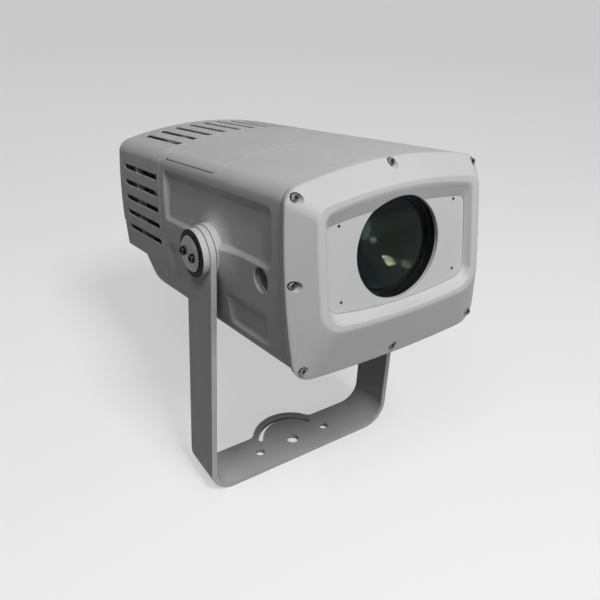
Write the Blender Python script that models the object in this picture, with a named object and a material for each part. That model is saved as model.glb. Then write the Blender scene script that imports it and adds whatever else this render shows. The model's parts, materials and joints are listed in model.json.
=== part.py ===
"""Outdoor gobo projector on a bent yoke, as an assembly of separate pieces.

Sizes are in millimetres and become metres when a piece is finished. The yoke stands on the
XY plane with the middle of its bolt holes at the origin. The head has its own frame, with
its origin on the tilt axis: X runs along that axis, -Y is the way the light leaves and Z is
up. The head is stored nose up by HEAD_TILT, held there by the clamps at its pivots.
"""

import math
from collections import namedtuple

import bmesh
import bpy
from mathutils import Matrix, Vector

MM = 0.001
GAP = 0.3
NEAR = 0.001
PAST = 5.0

# Head casting, seen from the front
HEAD_HALF = 118.5
HEAD_TOP = 100.4
HEAD_BOTTOM = -99.5
TOP_FALL = 0.0098
SHOULDER_RADIUS = 13.0
CHINE_RADIUS = 20.0
CROWN = 14.3
BELLY = 5.0
BARREL = 5.5
PAD_INSET = 12.2
WALL = 5.0
ROOF_WALL = 7.5

# Stations along the head
FRONT_Y = -168.0
SEAM_Y = -135.0
REAR_SEAM_Y = 130.0
REAR_Y = 268.0
FLANGE_DEPTH = 12.0
FLANGE_WIDTH = 19.5

# Tilt
HEAD_TILT = math.radians(9.42)
PIVOT_HEIGHT = 314.25

# Yoke
BAR_WIDTH = 55.0
BAR_THICKNESS = 6.5
BEND_RADIUS = 25.5
ARM_CLEARANCE = 0.5
CENTRE_HOLE_RADIUS = 8.0
SIDE_HOLE_RADIUS = 6.0
SIDE_HOLE_SPACING = 100.0
BULGE_RADIUS = 52.5
BULGE_FILLET = 10.0
ARC_SLOT_RADIUS = 42.0
ARC_SLOT_WIDTH = 6.2
ARC_SLOT_REACH = math.radians(63.0)

# Pivot
BOSS_RADIUS = 28.5
BOSS_HEIGHT = 7.8
BOSS_FILLET = 6.0
SHAFT_RADIUS = 16.0
SHAFT_FLANGE_RADIUS = 24.0
SHAFT_FLANGE = 5.0
COLLAR_RADIUS = 26.0
COLLAR_LENGTH = 6.9
WASHER_RADIUS = 25.5
WASHER_THICKNESS = 1.2
CLAMP_RADIUS = 19.3
CLAMP_THICKNESS = 3.4
CLAMP_CHAMFER = 2.6
CLAMP_SCREW_SPACING = 21.0
CLAMP_SCREW_RADIUS = 3.0
CLAMP_HEAD_RADIUS = 5.0
CLAMP_HEAD_HEIGHT = 2.4
CLAMP_SCREW_LENGTH = 18.0
SOCKET_SHARE = 0.58
SOCKET_DEPTH_SHARE = 0.55
EDGE_CHAMFER = 0.8

# Bezel
CREASE_Y = -145.0
CREASE_FLARE = 2.8
CREASE_DROP = 2.0
FACET_SIDE = 22.8
FACET_TOP = 20.0
RIM_LAND_SIDE = 8.5
RIM_LAND_TOP = 6.3
RIM_LAND_BOTTOM = 5.5
WINDOW_DEPTH = 8.0
WINDOW_SIDE_RUN = 4.0
WINDOW_TOP_RUN = 16.4
WINDOW_BOTTOM_RUN = 6.8
PLATE_THICKNESS = 2.7
PLATE_SILL = 2.7
BEZEL_WALL = 4.0
BEZEL_CAVITY_SIDE = 16.5
BEZEL_CAVITY_TOP = 14.4
BEZEL_CAVITY_BOTTOM = 17.5
FACET_WALL = 6.0
FACET_WALL_BOTTOM = 7.5
CORE_SIDE = 5.0
CORE_TOP = 9.0
CORE_BOTTOM = 6.5
CREASE_EASE = 2.5
BEZEL_SCREW_RADIUS = 2.1
BEZEL_HEAD_RADIUS = 3.9
BEZEL_HEAD_HEIGHT = 4.6
COUNTERBORE_RADIUS = 4.6
COUNTERBORE_DRAFT = 0.2
SCREW_CORNER_INSET = 10.7
SCREW_CORNER_DROP = 20.0
SCREW_CORNER_RISE = 15.0
SCREW_SIDE_INSET = 3.5
SCREW_SIDE_Z = 1.7
SCREW_TOP_DROP = 4.6
SCREW_BOTTOM_RISE = 8.1
RIM_EDGE = 1.6

# Corner radii above and below, crown, belly and barrel of the bezel's inner outlines
RIM_FORM = (13.0, 24.0, 9.0, 5.0, 1.0)
WINDOW_FORM = (8.0, 18.0, 9.5, 6.0, 0.8)
PLATE_FORM = (7.0, 12.0, 6.4, 7.8, 0.6)
CAVITY_CORNERS = (8.0, 14.0)

# Bezel gasket
SCREW_SEAT_Y = -144.9
TAP_END_Y = -125.0
GASKET_INSET = 14.0
GASKET_WIDTH = 3.0
GASKET_DEPTH = 2.0

# Optics
LENS_Z = 15.26
LENS_RADIUS = 50.9
BARREL_WALL = 4.0
BARREL_LIP = 1.1
BARREL_FLANGE = 6.0
BARREL_BAFFLE = 12.0
LENS_LAND = 4.0
LENS_SEAT_DEPTH = 13.0
BARREL_REAR_Y = -60.0
FOCUS_LENS_RADIUS = 20.0
FOCUS_Y = -20.0
ROD_SPACING = 66.0
ROD_RADIUS = 4.0
LEAD_SCREW_RADIUS = 3.0
SLIDE_FIT = 0.5
LEAD_SCREW_RISE = 31.0
SCREW_ENGAGEMENT = 10.0
FOCUS_MOTOR_RADIUS = 10.0
FOCUS_MOTOR_LENGTH = 15.0
CARRIAGE_HALF = 6.0
CARRIAGE_WALL = 4.0
CARRIAGE_LIP = 2.5
CARRIAGE_SEAT = 2.0
CARRIAGE_ARM_HALF = 4.5
EAR_RADIUS = 8.0
NUT_RADIUS = 7.0
EAR_HALF = 5.5
GOBO_RADIUS = 15.0
GOBO_PITCH_RADIUS = 37.0
GOBO_COUNT = 4
GOBO_THICKNESS = 1.2
GOBO_LIP = 1.4
HUB_HEIGHT = 4.0
WHEEL_THICKNESS = 3.0
WHEEL_RIM = 4.5
HUB_RADIUS = 7.0
APERTURE_LIP = 2.0
GATE_TO_WHEEL = 6.0
GOBO_MOTOR_RADIUS = 14.0
GOBO_MOTOR_LENGTH = 26.0
SHAFT_ENGAGEMENT = 12.0
WHEEL_Y = 40.0
GOBO_SHAFT_RADIUS = 2.5
CONDENSER_RADIUS = 25.7
CONDENSER_WALL = 4.0
CONDENSER_LENGTH = 44.0
CONDENSER_SEAT = 10.0
CONDENSER_DISTANCE = 16.0

# Optical bench
BENCH_THICKNESS = 3.0
BENCH_CLEARANCE = 6.5
BENCH_HALF = 70.0
BENCH_FRONT_Y = -110.0
BENCH_REAR_Y = 112.0
FOOT_RADIUS = 5.0
FOOT_INSET = 12.0
FOOT_SIDE_INSET = 18.0
UPRIGHT_THICKNESS = 3.0
UPRIGHT_MARGIN = 10.0

# Electronics
DRIVER_HALF = 58.0
BOARD_HALF = 50.0
BOARD_THICKNESS = 1.6
SPACER_HEIGHT = 6.0
SPACER_RADIUS = 3.0
SPACER_INSET = 6.0
CONNECTOR = (22.0, 10.0, 9.0)
CHIP = (18.0, 18.0, 3.0)

# Panel recesses in the housing sides: y from, y to, z from, z to, then the runs of their four
# sloped walls (front, rear, bottom, top), the depth at the lower and upper floor edge, corner
UPPER_RECESS = (-120.0, 117.0, 7.5, 67.2, 2.5, 5.0, 4.5, 11.3, 3.4, 6.2, 8.0)
FRONT_RECESS = (-105.0, -27.0, -75.0, -40.0, 3.0, 7.0, 2.5, 12.0, 4.0, 4.4, 8.0)
REAR_RECESS = (25.0, 119.0, -77.0, -18.0, 4.0, 12.0, 10.0, 12.0, 4.4, 4.8, 8.0)
PAD_MARGIN = 4.0
PAD_CORNER = 8.0
PORT_PAD = 4.0
BOSS_PAD = 6.0

# Blanking plug in each side
PORT_Y = -99.5
PORT_Z = -6.2
PORT_RADIUS = 12.3
PORT_DEPTH = 9.5
PLUG_THICKNESS = 2.5
PLUG_SOCKET = 4.0

# Top cover
LID_HALF = 111.0
LID_FRONT_Y = -12.0
LID_REAR_Y = 120.0
LID_CORNER = 11.0
LID_THICKNESS = 3.0
LID_GASKET = 1.2
LID_SEAM = 0.7
LID_SKIRT_Z = 79.5
LID_LEDGE = 7.0
LID_GASKET_INSET = 1.0
LID_GASKET_WIDTH = 4.5

# Rear cover
COVER_WALL = 4.0
COVER_EDGE_RADIUS = 8.0
STEP_START_Y = 158.0
STEP_END_Y = 196.0
STEP_Z = -56.0
SILL_Y = 258.0
SILL_Z = -22.0
SLOT_FRONT_Y = 138.0
SLOT_REAR_Y = 243.0
SLOT_WIDTH = 7.0
SIDE_SLOTS = 5
SIDE_SLOT_TOP_Z = 53.5
SIDE_SLOT_PITCH = 20.0
TOP_SLOTS = 9
TOP_SLOT_PITCH = 20.5
TOP_SLOT_FRONT_Y = 135.5
SLOT_CORNER = 1.8
RIB_Y = 205.0
RIB_THICKNESS = 4.0
RIB_DEPTH = 7.0
RIB_INSET = 1.2

# Light engine
BULKHEAD_THICKNESS = 4.0
SINK_BASE = 6.4
SINK_HALF = 86.0
SINK_BOTTOM = -44.0
SINK_TOP = 80.0
SINK_DEPTH = 76.7
FIN_THICKNESS = 1.6
FIN_COUNT = 21
PEDESTAL_HALF = 27.0
PEDESTAL_REACH = 6.3
EMITTER_RADIUS = 11.0
EMITTER_HEIGHT = 1.5
LED_BOARD_HALF = 25.0
LED_BOARD_THICKNESS = 2.0

# Fans
FAN_SIZE = 92.0
FAN_DEPTH = 25.0
FAN_SPACING = 96.0
FAN_Z = 18.0
FAN_BORE = 44.0
FAN_HUB = 17.0
FAN_TIP = 40.5
FAN_BLADES = 7
FAN_PIN = 2.0
FAN_PIN_LENGTH = 13.3
STATOR_DEPTH = 3.7
ROTOR_HALF = 9.0
BLADE_THICKNESS = 1.6
SPOKE_HALF = 2.0
SPOKE_DEPTH = 3.5

# Radius, chord and pitch in degrees where a fan blade is set out
BLADE_STATIONS = ((14.0, 15.0, 48.0), (30.0, 20.0, 36.0), (FAN_TIP, 23.0, 28.0))

# Cable gland under the rear step
GLAND_Y = 228.0
GLAND_RADIUS = 10.0
GLAND_FLANGE = 4.0
GLAND_NUT = 4.0
GLAND_BODY = 15.0
GLAND_LENGTH = 19.0
GLAND_BORE = 4.5

Section = namedtuple("Section", "half top bottom r_top r_bottom crown belly barrel")

# How finely outlines are divided: corner steps, wide runs, tall runs
FINE = (3, 6, 4)
PLAIN = (2, 6, 2)


# Outlines

def arc(x, z, radius, start, end, steps):
    """Points on an arc about (x, z), angles in degrees."""
    points = []
    for i in range(steps + 1):
        angle = math.radians(start + (end - start) * i / steps)
        points.append((x + radius * math.cos(angle), z + radius * math.sin(angle)))
    return points


def between(start, end, count):
    """The points that divide a straight run, without its ends."""
    points = []
    for i in range(1, count):
        share = i / count
        points.append((start[0] + (end[0] - start[0]) * share, start[1] + (end[1] - start[1]) * share))
    return points


def outline(section, inset=0.0, steps=FINE):
    """Corner arcs joined by runs that bow out: crown on top, belly below, barrel at the sides."""
    corner_steps, wide_run, tall_run = steps
    half = section.half - inset
    top = section.top - inset
    bottom = section.bottom + inset
    r_top = max(section.r_top - inset, 2.0)
    r_bottom = max(section.r_bottom - inset, 2.0)
    corners = (
        (half - r_top, top - r_top, r_top, 0, wide_run),
        (r_top - half, top - r_top, r_top, 90, tall_run),
        (r_bottom - half, bottom + r_bottom, r_bottom, 180, wide_run),
        (half - r_bottom, bottom + r_bottom, r_bottom, 270, tall_run),
    )
    points = []
    for i, (x, z, radius, start, run) in enumerate(corners):
        corner = arc(x, z, radius, start, start + 90, corner_steps)
        x, z, radius, start, _ = corners[(i + 1) % 4]
        following = arc(x, z, radius, start, start, 1)[0]
        points += corner + between(corner[-1], following, run)
    return [bowed(section, x, z) for x, z in points]


def bowed(section, x, z):
    """Move a point of the plain rounded rectangle out to the bowed section."""
    height = (z - section.bottom) / (section.top - section.bottom)
    up = 2 * height - 1
    across = (x / section.half) ** 2
    drop = section.crown * height - section.belly * (1 - height)
    return x * (1 - section.barrel * up * up / section.half), z - drop * across


def rounded_rectangle(u0, u1, v0, v1, radius, steps=3):
    """A plain rectangle with round corners, anticlockwise from its upper right corner."""
    return (
        arc(u1 - radius, v1 - radius, radius, 0, 90, steps)
        + arc(u0 + radius, v1 - radius, radius, 90, 180, steps)
        + arc(u0 + radius, v0 + radius, radius, 180, 270, steps)
        + arc(u1 - radius, v0 + radius, radius, 270, 360, steps)
    )


def offset_run(points, distance):
    """An open run of straight lines moved sideways to the left of its direction."""
    lines = []
    for (u0, v0), (u1, v1) in zip(points, points[1:]):
        length = math.hypot(u1 - u0, v1 - v0)
        normal = (-(v1 - v0) / length * distance, (u1 - u0) / length * distance)
        lines.append(((u0 + normal[0], v0 + normal[1]), (u1 - u0, v1 - v0)))
    moved = [lines[0][0]]
    for (a, da), (b, db) in zip(lines, lines[1:]):
        cross = da[0] * db[1] - da[1] * db[0]
        share = ((b[0] - a[0]) * db[1] - (b[1] - a[1]) * db[0]) / cross
        moved.append((a[0] + da[0] * share, a[1] + da[1] * share))
    (start, run) = lines[-1]
    moved.append((start[0] + run[0], start[1] + run[1]))
    return moved


def head_section(y):
    """The casting's section at a station, with its roof falling slightly to the rear."""
    top = HEAD_TOP - TOP_FALL * (y - SEAM_Y)
    return Section(HEAD_HALF, top, HEAD_BOTTOM, SHOULDER_RADIUS, CHINE_RADIUS, CROWN, BELLY, BARREL)


def side_x(z):
    """How far out the housing's side lies at a height, which the bow has shifted along it."""
    section = head_section(0.0)
    span = section.top - section.bottom - section.crown - section.belly
    up = 2 * (z - section.bottom - section.belly) / span - 1
    return section.half - section.barrel * up * up


def floor_z(x):
    """Height of the housing's inner floor at a distance from its middle."""
    return HEAD_BOTTOM + WALL + BELLY * (x / HEAD_HALF) ** 2


# Solids

def solid(name, bm):
    """Wrap a finished bmesh as an object in the scene."""
    bmesh.ops.recalc_face_normals(bm, faces=bm.faces)
    mesh = bpy.data.meshes.new(name)
    bm.to_mesh(mesh)
    bm.free()
    obj = bpy.data.objects.new(name, mesh)
    bpy.context.scene.collection.objects.link(obj)
    return obj


def laid(points, axis, level):
    """Lay a flat outline square to an axis, at a level along it."""
    if axis == "X":
        return [(level, u, v) for u, v in points]
    if axis == "Y":
        return [(u, level, v) for u, v in points]
    return [(u, v, level) for u, v in points]


def loft(name, rings):
    """A skin through rings of equal count, closed by a cap at each end."""
    bm = bmesh.new()
    rows = [[bm.verts.new(point) for point in ring] for ring in rings]
    for low, high in zip(rows, rows[1:]):
        for i, vert in enumerate(low):
            following = (i + 1) % len(low)
            bm.faces.new((vert, low[following], high[following], high[i]))
    bm.faces.new(list(reversed(rows[0])))
    bm.faces.new(rows[-1])
    return solid(name, bm)


def prism(name, points, axis, low, high):
    """A flat outline extruded along an axis."""
    return loft(name, [laid(points, axis, low), laid(points, axis, high)])


def block(name, x0, x1, y0, y1, z0, z1):
    """A plain box between two corners."""
    return prism(name, [(x0, y0), (x1, y0), (x1, y1), (x0, y1)], "Z", z0, z1)


def turned(name, profile, axis, centre=(0.0, 0.0), steps=24, ring=False, phase=0.0):
    """A profile of (radius, level) points spun about an axis through the centre.

    Flat ends become single faces. The phase turns the facets by that share of a step.
    """
    bm = bmesh.new()
    direction = {"X": Vector((1, 0, 0)), "Y": Vector((0, 1, 0)), "Z": Vector((0, 0, 1))}[axis]
    verts = [bm.verts.new(laid([(centre[0] + r, centre[1])], axis, level)[0]) for r, level in profile]
    edges = [bm.edges.new(pair) for pair in zip(verts, verts[1:])]
    if ring:
        edges.append(bm.edges.new((verts[-1], verts[0])))
    middle = laid([centre], axis, 0.0)[0]
    bmesh.ops.spin(
        bm, geom=verts + edges, cent=middle, axis=direction, angle=math.tau, steps=steps, use_merge=True
    )
    bmesh.ops.remove_doubles(bm, verts=bm.verts, dist=0.0005)
    if phase:
        turn = Matrix.Rotation(phase * math.tau / steps, 3, direction)
        bmesh.ops.rotate(bm, verts=bm.verts, cent=middle, matrix=turn)
    hubs = []
    for vert in bm.verts:
        rises = [abs((edge.other_vert(vert).co - vert.co).dot(direction)) for edge in vert.link_edges]
        off_axis = (vert.co - Vector(middle)).cross(direction).length
        if max(rises) < NEAR and off_axis < NEAR:
            hubs.append(vert)
    bmesh.ops.dissolve_verts(bm, verts=hubs)
    return solid(name, bm)


def rod(name, radius, axis, centre, low, high, steps=20):
    """A round bar."""
    return turned(name, [(0, low), (radius, low), (radius, high), (0, high)], axis, centre, steps)


def tube(name, outer, inner, axis, centre, low, high, steps=24):
    """A round bar with a bore."""
    profile = [(inner, low), (outer, low), (outer, high), (inner, high)]
    return turned(name, profile, axis, centre, steps, ring=True)


def combine(target, tool, operation):
    """Apply a Boolean with the tool, which is used up."""
    modifier = target.modifiers.new(operation, "BOOLEAN")
    modifier.object = tool
    modifier.operation = operation
    modifier.solver = "EXACT"
    depsgraph = bpy.context.evaluated_depsgraph_get()
    mesh = bpy.data.meshes.new_from_object(target.evaluated_get(depsgraph))
    target.modifiers.clear()
    old = target.data
    target.data = mesh
    bpy.data.meshes.remove(old)
    bpy.data.objects.remove(tool)


def cut(target, *tools):
    """Take each tool away from the target."""
    for tool in tools:
        combine(target, tool, "DIFFERENCE")
    return target


def fuse(target, *tools):
    """Join each tool to the target."""
    for tool in tools:
        combine(target, tool, "UNION")
    return target


def keep(target, tool):
    """Keep what the target shares with the tool."""
    combine(target, tool, "INTERSECT")
    return target


def gathered(name, parts):
    """Put solids that don't touch into one object, to cut them in one step."""
    bm = bmesh.new()
    for part in parts:
        bm.from_mesh(part.data)
        bpy.data.objects.remove(part)
    return solid(name, bm)


# Finishing

def material(name, colour, roughness, metallic=0.0, transmission=0.0):
    """A Principled material."""
    made = bpy.data.materials.new(name)
    made.use_nodes = True
    shader = made.node_tree.nodes["Principled BSDF"]
    shader.inputs["Base Color"].default_value = (*colour, 1.0)
    shader.inputs["Roughness"].default_value = roughness
    shader.inputs["Metallic"].default_value = metallic
    shader.inputs["Transmission Weight"].default_value = transmission
    made.diffuse_color = (*colour, 1.0)
    return made


def finish(obj, parent, coat, place=(0.0, 0.0, 0.0)):
    """Turn a piece to metres, smooth its round faces, and hang it on its parent."""
    obj.data.transform(Matrix.Scale(MM, 4))
    obj.data.shade_smooth()
    obj.data.set_sharp_from_angle(angle=math.radians(32))
    obj.data.materials.clear()
    obj.data.materials.append(coat)
    obj.location = [MM * value for value in place]
    obj.parent = parent
    return obj


def frame(name, place=(0.0, 0.0, 0.0), turn=0.0, parent=None):
    """An empty that carries pieces, turned about X."""
    empty = bpy.data.objects.new(name, None)
    empty.location = [MM * value for value in place]
    empty.rotation_euler.x = turn
    empty.parent = parent
    empty.empty_display_size = 0.03
    bpy.context.scene.collection.objects.link(empty)
    return empty


# Places that several pieces share

BOSS_X = HEAD_HALF + BOSS_HEIGHT
ARM_INNER_X = BOSS_X + ARM_CLEARANCE
ARM_OUTER_X = ARM_INNER_X + BAR_THICKNESS
COLLAR_END_X = ARM_OUTER_X + GAP + COLLAR_LENGTH
WASHER_END_X = COLLAR_END_X + GAP + WASHER_THICKNESS
CLAMP_END_X = WASHER_END_X + GAP + CLAMP_THICKNESS
PAD_X = HEAD_HALF - PAD_INSET
BORE_RADIUS = SHAFT_RADIUS + GAP

PLATE_Y = FRONT_Y + WINDOW_DEPTH
PLATE_BACK_Y = PLATE_Y + PLATE_THICKNESS
BARREL_OUTER = LENS_RADIUS + BARREL_WALL + BARREL_LIP
BARREL_INNER = BARREL_OUTER - BARREL_WALL
BARREL_FRONT_Y = PLATE_BACK_Y + GAP
PLATE_BOTTOM = LENS_Z - LENS_RADIUS - PLATE_SILL

BENCH_Z = HEAD_BOTTOM + WALL + BENCH_CLEARANCE
BENCH_TOP = BENCH_Z + BENCH_THICKNESS
GATE_Y = WHEEL_Y - GATE_TO_WHEEL
WHEEL_Z = LENS_Z - GOBO_PITCH_RADIUS
CONDENSER_Y = WHEEL_Y + CONDENSER_DISTANCE
LENS_SEAT_Y = BARREL_FRONT_Y + LENS_SEAT_DEPTH
ROD_X = ROD_SPACING / 2
SCREW_Z = LENS_Z + LEAD_SCREW_RISE

BULKHEAD_Y = REAR_SEAM_Y + GAP
SINK_Y = BULKHEAD_Y + BULKHEAD_THICKNESS + GAP
SINK_END_Y = SINK_Y + SINK_BASE + SINK_DEPTH
FAN_Y = SINK_END_Y + GAP
LED_Y = BULKHEAD_Y - PEDESTAL_REACH


# Yoke

def u_outline():
    """The bent bar seen from the front: outer run down one side, inner run back."""
    top = PIVOT_HEIGHT + BAR_WIDTH / 2
    outer = BEND_RADIUS + BAR_THICKNESS
    x = ARM_OUTER_X - outer
    down = [(-ARM_OUTER_X, top)] + arc(-x, outer, outer, 180, 270, 6)
    across = arc(x, outer, outer, 270, 360, 6) + [(ARM_OUTER_X, top), (ARM_INNER_X, top)]
    back = arc(x, outer, BEND_RADIUS, 360, 270, 6) + arc(-x, outer, BEND_RADIUS, 270, 180, 6)
    return down + across + back + [(-ARM_INNER_X, top)]


def rear_trim():
    """Plan of what is trimmed behind the bar, leaving the bulge round the arc slot."""
    back = BAR_WIDTH / 2
    reach = BULGE_RADIUS + BULGE_FILLET
    fillet_z = back + BULGE_FILLET
    fillet_x = math.sqrt(reach * reach - fillet_z * fillet_z)
    angle = math.degrees(math.atan2(fillet_z, fillet_x))
    wide = ARM_OUTER_X + 20
    deep = BULGE_RADIUS + 20
    right = arc(fillet_x, fillet_z, BULGE_FILLET, 270, 180 + angle, 3)
    middle = arc(0, 0, BULGE_RADIUS, angle, 180 - angle, 14)[1:-1]
    left = [(-x, y) for x, y in reversed(right)]
    return [(wide, back)] + right + middle + left + [(-wide, back), (-wide, deep), (wide, deep)]


def arc_slot():
    """The slot that lets the bracket swing about its centre bolt."""
    reach = math.degrees(ARC_SLOT_REACH)
    outer = arc(0, 0, ARC_SLOT_RADIUS + ARC_SLOT_WIDTH / 2, 90 - reach, 90 + reach, 10)
    inner = arc(0, 0, ARC_SLOT_RADIUS - ARC_SLOT_WIDTH / 2, 90 + reach, 90 - reach, 10)
    x = ARC_SLOT_RADIUS * math.sin(ARC_SLOT_REACH)
    y = ARC_SLOT_RADIUS * math.cos(ARC_SLOT_REACH)
    left = arc(-x, y, ARC_SLOT_WIDTH / 2, 90 + reach, 270 + reach, 4)[1:-1]
    right = arc(x, y, ARC_SLOT_WIDTH / 2, 270 - reach, 450 - reach, 4)[1:-1]
    return outer + left + inner + right


def yoke_bracket():
    """Flat bar bent to a U, with round arm ends, pivot bores and bolt holes."""
    deep = BULGE_RADIUS + 2
    bar = prism("yoke_bracket", u_outline(), "Y", -BAR_WIDTH / 2, deep)
    above = PIVOT_HEIGHT + BAR_WIDTH
    cut(bar, prism("trim", rear_trim(), "Z", -PAST, above))
    wide = ARM_OUTER_X + PAST
    end = block("end", -wide, wide, -BAR_WIDTH, BAR_WIDTH, PIVOT_HEIGHT, above)
    cut(end, rod("round", BAR_WIDTH / 2, "X", (0, PIVOT_HEIGHT), -wide - PAST, wide + PAST, 32))
    cut(bar, end, rod("bore", BORE_RADIUS, "X", (0, PIVOT_HEIGHT), -wide, wide, 24))
    through = (-PAST, BAR_THICKNESS + PAST)
    holes = [rod("hole", CENTRE_HOLE_RADIUS, "Z", (0, 0), *through, 16)]
    for side in (-1, 1):
        holes.append(rod("hole", SIDE_HOLE_RADIUS, "Z", (side * SIDE_HOLE_SPACING / 2, 0), *through, 16))
    holes.append(prism("slot", arc_slot(), "Z", *through))
    return cut(bar, gathered("holes", holes))


def pivot_collar(name, side):
    """Spacer ring outside the arm, with a chamfered outer edge."""
    start = side * (ARM_OUTER_X + GAP)
    end = side * COLLAR_END_X
    profile = [
        (BORE_RADIUS, start),
        (COLLAR_RADIUS, start),
        (COLLAR_RADIUS, end - side * EDGE_CHAMFER),
        (COLLAR_RADIUS - EDGE_CHAMFER, end),
        (BORE_RADIUS, end),
    ]
    return turned(name, profile, "X", (0, PIVOT_HEIGHT), 24, ring=True)


# Pivot hardware, in the head's frame

def screw_place(side):
    """The clamp screws lie level in the world while the head is nose up."""
    reach = side * CLAMP_SCREW_SPACING / 2
    return reach * math.cos(HEAD_TILT), reach * math.sin(HEAD_TILT)


def pivot_shaft(name, side):
    """Flanged stub that carries the head in the arm, tapped for the clamp screws."""
    inner = side * (PAD_X - GAP)
    flange = side * (PAD_X - GAP - SHAFT_FLANGE)
    end = side * (WASHER_END_X - GAP / 3)
    profile = [
        (0, flange),
        (SHAFT_FLANGE_RADIUS, flange),
        (SHAFT_FLANGE_RADIUS, inner),
        (SHAFT_RADIUS, inner),
        (SHAFT_RADIUS, end),
        (0, end),
    ]
    shaft = turned(name, profile, "X", (0, 0), 16)
    tap_end = CLAMP_END_X + GAP - CLAMP_SCREW_LENGTH - GAP
    low, high = sorted((side * tap_end, side * (COLLAR_END_X + PAST)))
    for way in (-1, 1):
        cut(shaft, rod("tap", CLAMP_SCREW_RADIUS + GAP, "X", screw_place(way), low, high, 10))
    return shaft


def friction_washer(name, side):
    """Black ring squeezed between the collar and the clamp disc."""
    low, high = sorted((side * (COLLAR_END_X + GAP), side * WASHER_END_X))
    return tube(name, WASHER_RADIUS, SHAFT_RADIUS + GAP, "X", (0, 0), low, high, 24)


def clamp_disc(name, side):
    """Stainless disc with a broad chamfer that the two screws pull on to the washer."""
    start = side * (WASHER_END_X + GAP)
    end = side * CLAMP_END_X
    shoulder = end - side * CLAMP_CHAMFER
    profile = [
        (0, start),
        (CLAMP_RADIUS, start),
        (CLAMP_RADIUS, shoulder),
        (CLAMP_RADIUS - CLAMP_CHAMFER, end),
        (0, end),
    ]
    disc = turned(name, profile, "X", (0, 0), 24)
    low, high = sorted((side * (WASHER_END_X - PAST), side * (CLAMP_END_X + PAST)))
    for way in (-1, 1):
        cut(disc, rod("hole", CLAMP_SCREW_RADIUS + GAP, "X", screw_place(way), low, high, 10))
    return disc


def socket_screw(name, axis, centre, seat, out, sizes, steps=12):
    """A cap screw with a hexagon socket: seat is under its head, out points away from the tip."""
    shank, head, height, length = sizes
    profile = [
        (0, seat - out * length),
        (shank, seat - out * length),
        (shank, seat),
        (head, seat),
        (head, seat + out * height),
        (0, seat + out * height),
    ]
    screw = turned(name, profile, axis, centre, steps)
    low, high = sorted((seat + out * height * (1 - SOCKET_DEPTH_SHARE), seat + out * (height + PAST)))
    return cut(screw, rod("socket", head * SOCKET_SHARE, axis, centre, low, high, 6))


# Housing

def recess_tool(spec, side):
    """Cutter for a panel recess with sloped walls and a floor that follows the side."""
    y0, y1, z0, z1, front, rear, low, high, deep_low, deep_high, corner = spec
    mouth = rounded_rectangle(y0, y1, z0, z1, corner, 2)
    floor = rounded_rectangle(y0 + front, y1 - rear, z0 + low, z1 - high, corner * 0.6, 2)
    floor_low = z0 + low
    floor_span = z1 - high - floor_low
    above = [(side * (side_x(z) + PAST), y, z) for y, z in mouth]
    surface = [(side * side_x(z), y, z) for y, z in mouth]
    bed = []
    for y, z in floor:
        depth = deep_low + (deep_high - deep_low) * (z - floor_low) / floor_span
        bed.append((side * (side_x(z) - depth), y, z))
    return loft("recess", [above, surface, bed])


def panel_pad(spec, side):
    """Inner thickening behind a recess, left standing in the cavity."""
    y0, y1, z0, z1 = spec[:4]
    low, high = sorted((side * PAD_X, side * (HEAD_HALF + PAST)))
    grown = (y0 - PAD_MARGIN, y1 + PAD_MARGIN, z0 - PAD_MARGIN, z1 + PAD_MARGIN / 2)
    return prism("pad", rounded_rectangle(*grown, PAD_CORNER, 1), "X", low, high)


def housing_cavity():
    """Inside of the housing, with its pads left out, as one cutter."""
    rings = []
    for y in (SEAM_Y + FLANGE_DEPTH, REAR_SEAM_Y - FLANGE_DEPTH):
        section = head_section(y)
        thin = section._replace(
            half=section.half - WALL,
            top=section.top - ROOF_WALL,
            bottom=section.bottom + WALL,
            r_top=SHOULDER_RADIUS - WALL,
            r_bottom=CHINE_RADIUS - WALL,
        )
        rings.append(laid(outline(thin, 0.0, PLAIN), "Y", y))
    cavity = loft("cavity", rings)
    for side in (-1, 1):
        for spec in (UPPER_RECESS, FRONT_RECESS, REAR_RECESS):
            cut(cavity, panel_pad(spec, side))
        low, high = sorted((side * PAD_X, side * (HEAD_HALF + PAST)))
        cut(cavity, rod("pad", BOSS_RADIUS + BOSS_PAD, "X", (0, 0), low, high, 12))
        cut(cavity, rod("pad", PORT_RADIUS + PORT_PAD, "X", (PORT_Y, PORT_Z), low, high, 8))
    return cavity


def flange_opening(y_from, y_to):
    """Opening left inside a flange at one end of the housing."""
    section = head_section((y_from + y_to) / 2)
    rings = [laid(outline(section, FLANGE_WIDTH, PLAIN), "Y", y) for y in (y_from, y_to)]
    return loft("opening", rings)


def lid_outline(grow):
    """Plan of the top cover, grown or shrunk evenly."""
    radius = LID_CORNER + grow
    return rounded_rectangle(
        -LID_HALF - grow, LID_HALF + grow, LID_FRONT_Y - grow, LID_REAR_Y + grow, max(radius, 2.0), 4
    )


def roof_skin(name, inset):
    """The head's form under the roof, some way below its surface, past both ends of the lid."""
    rings = []
    for y in (LID_FRONT_Y - LID_CORNER, LID_REAR_Y + LID_CORNER):
        rings.append(laid(outline(head_section(y), inset), "Y", y))
    return loft(name, rings)


def lid_step():
    """Cutter for the step that the top cover and its gasket sit in."""
    step = prism("step", lid_outline(LID_SEAM), "Z", LID_SKIRT_Z, HEAD_TOP + PAST)
    return cut(step, roof_skin("under", LID_THICKNESS + LID_GASKET + 2 * GAP))


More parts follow.
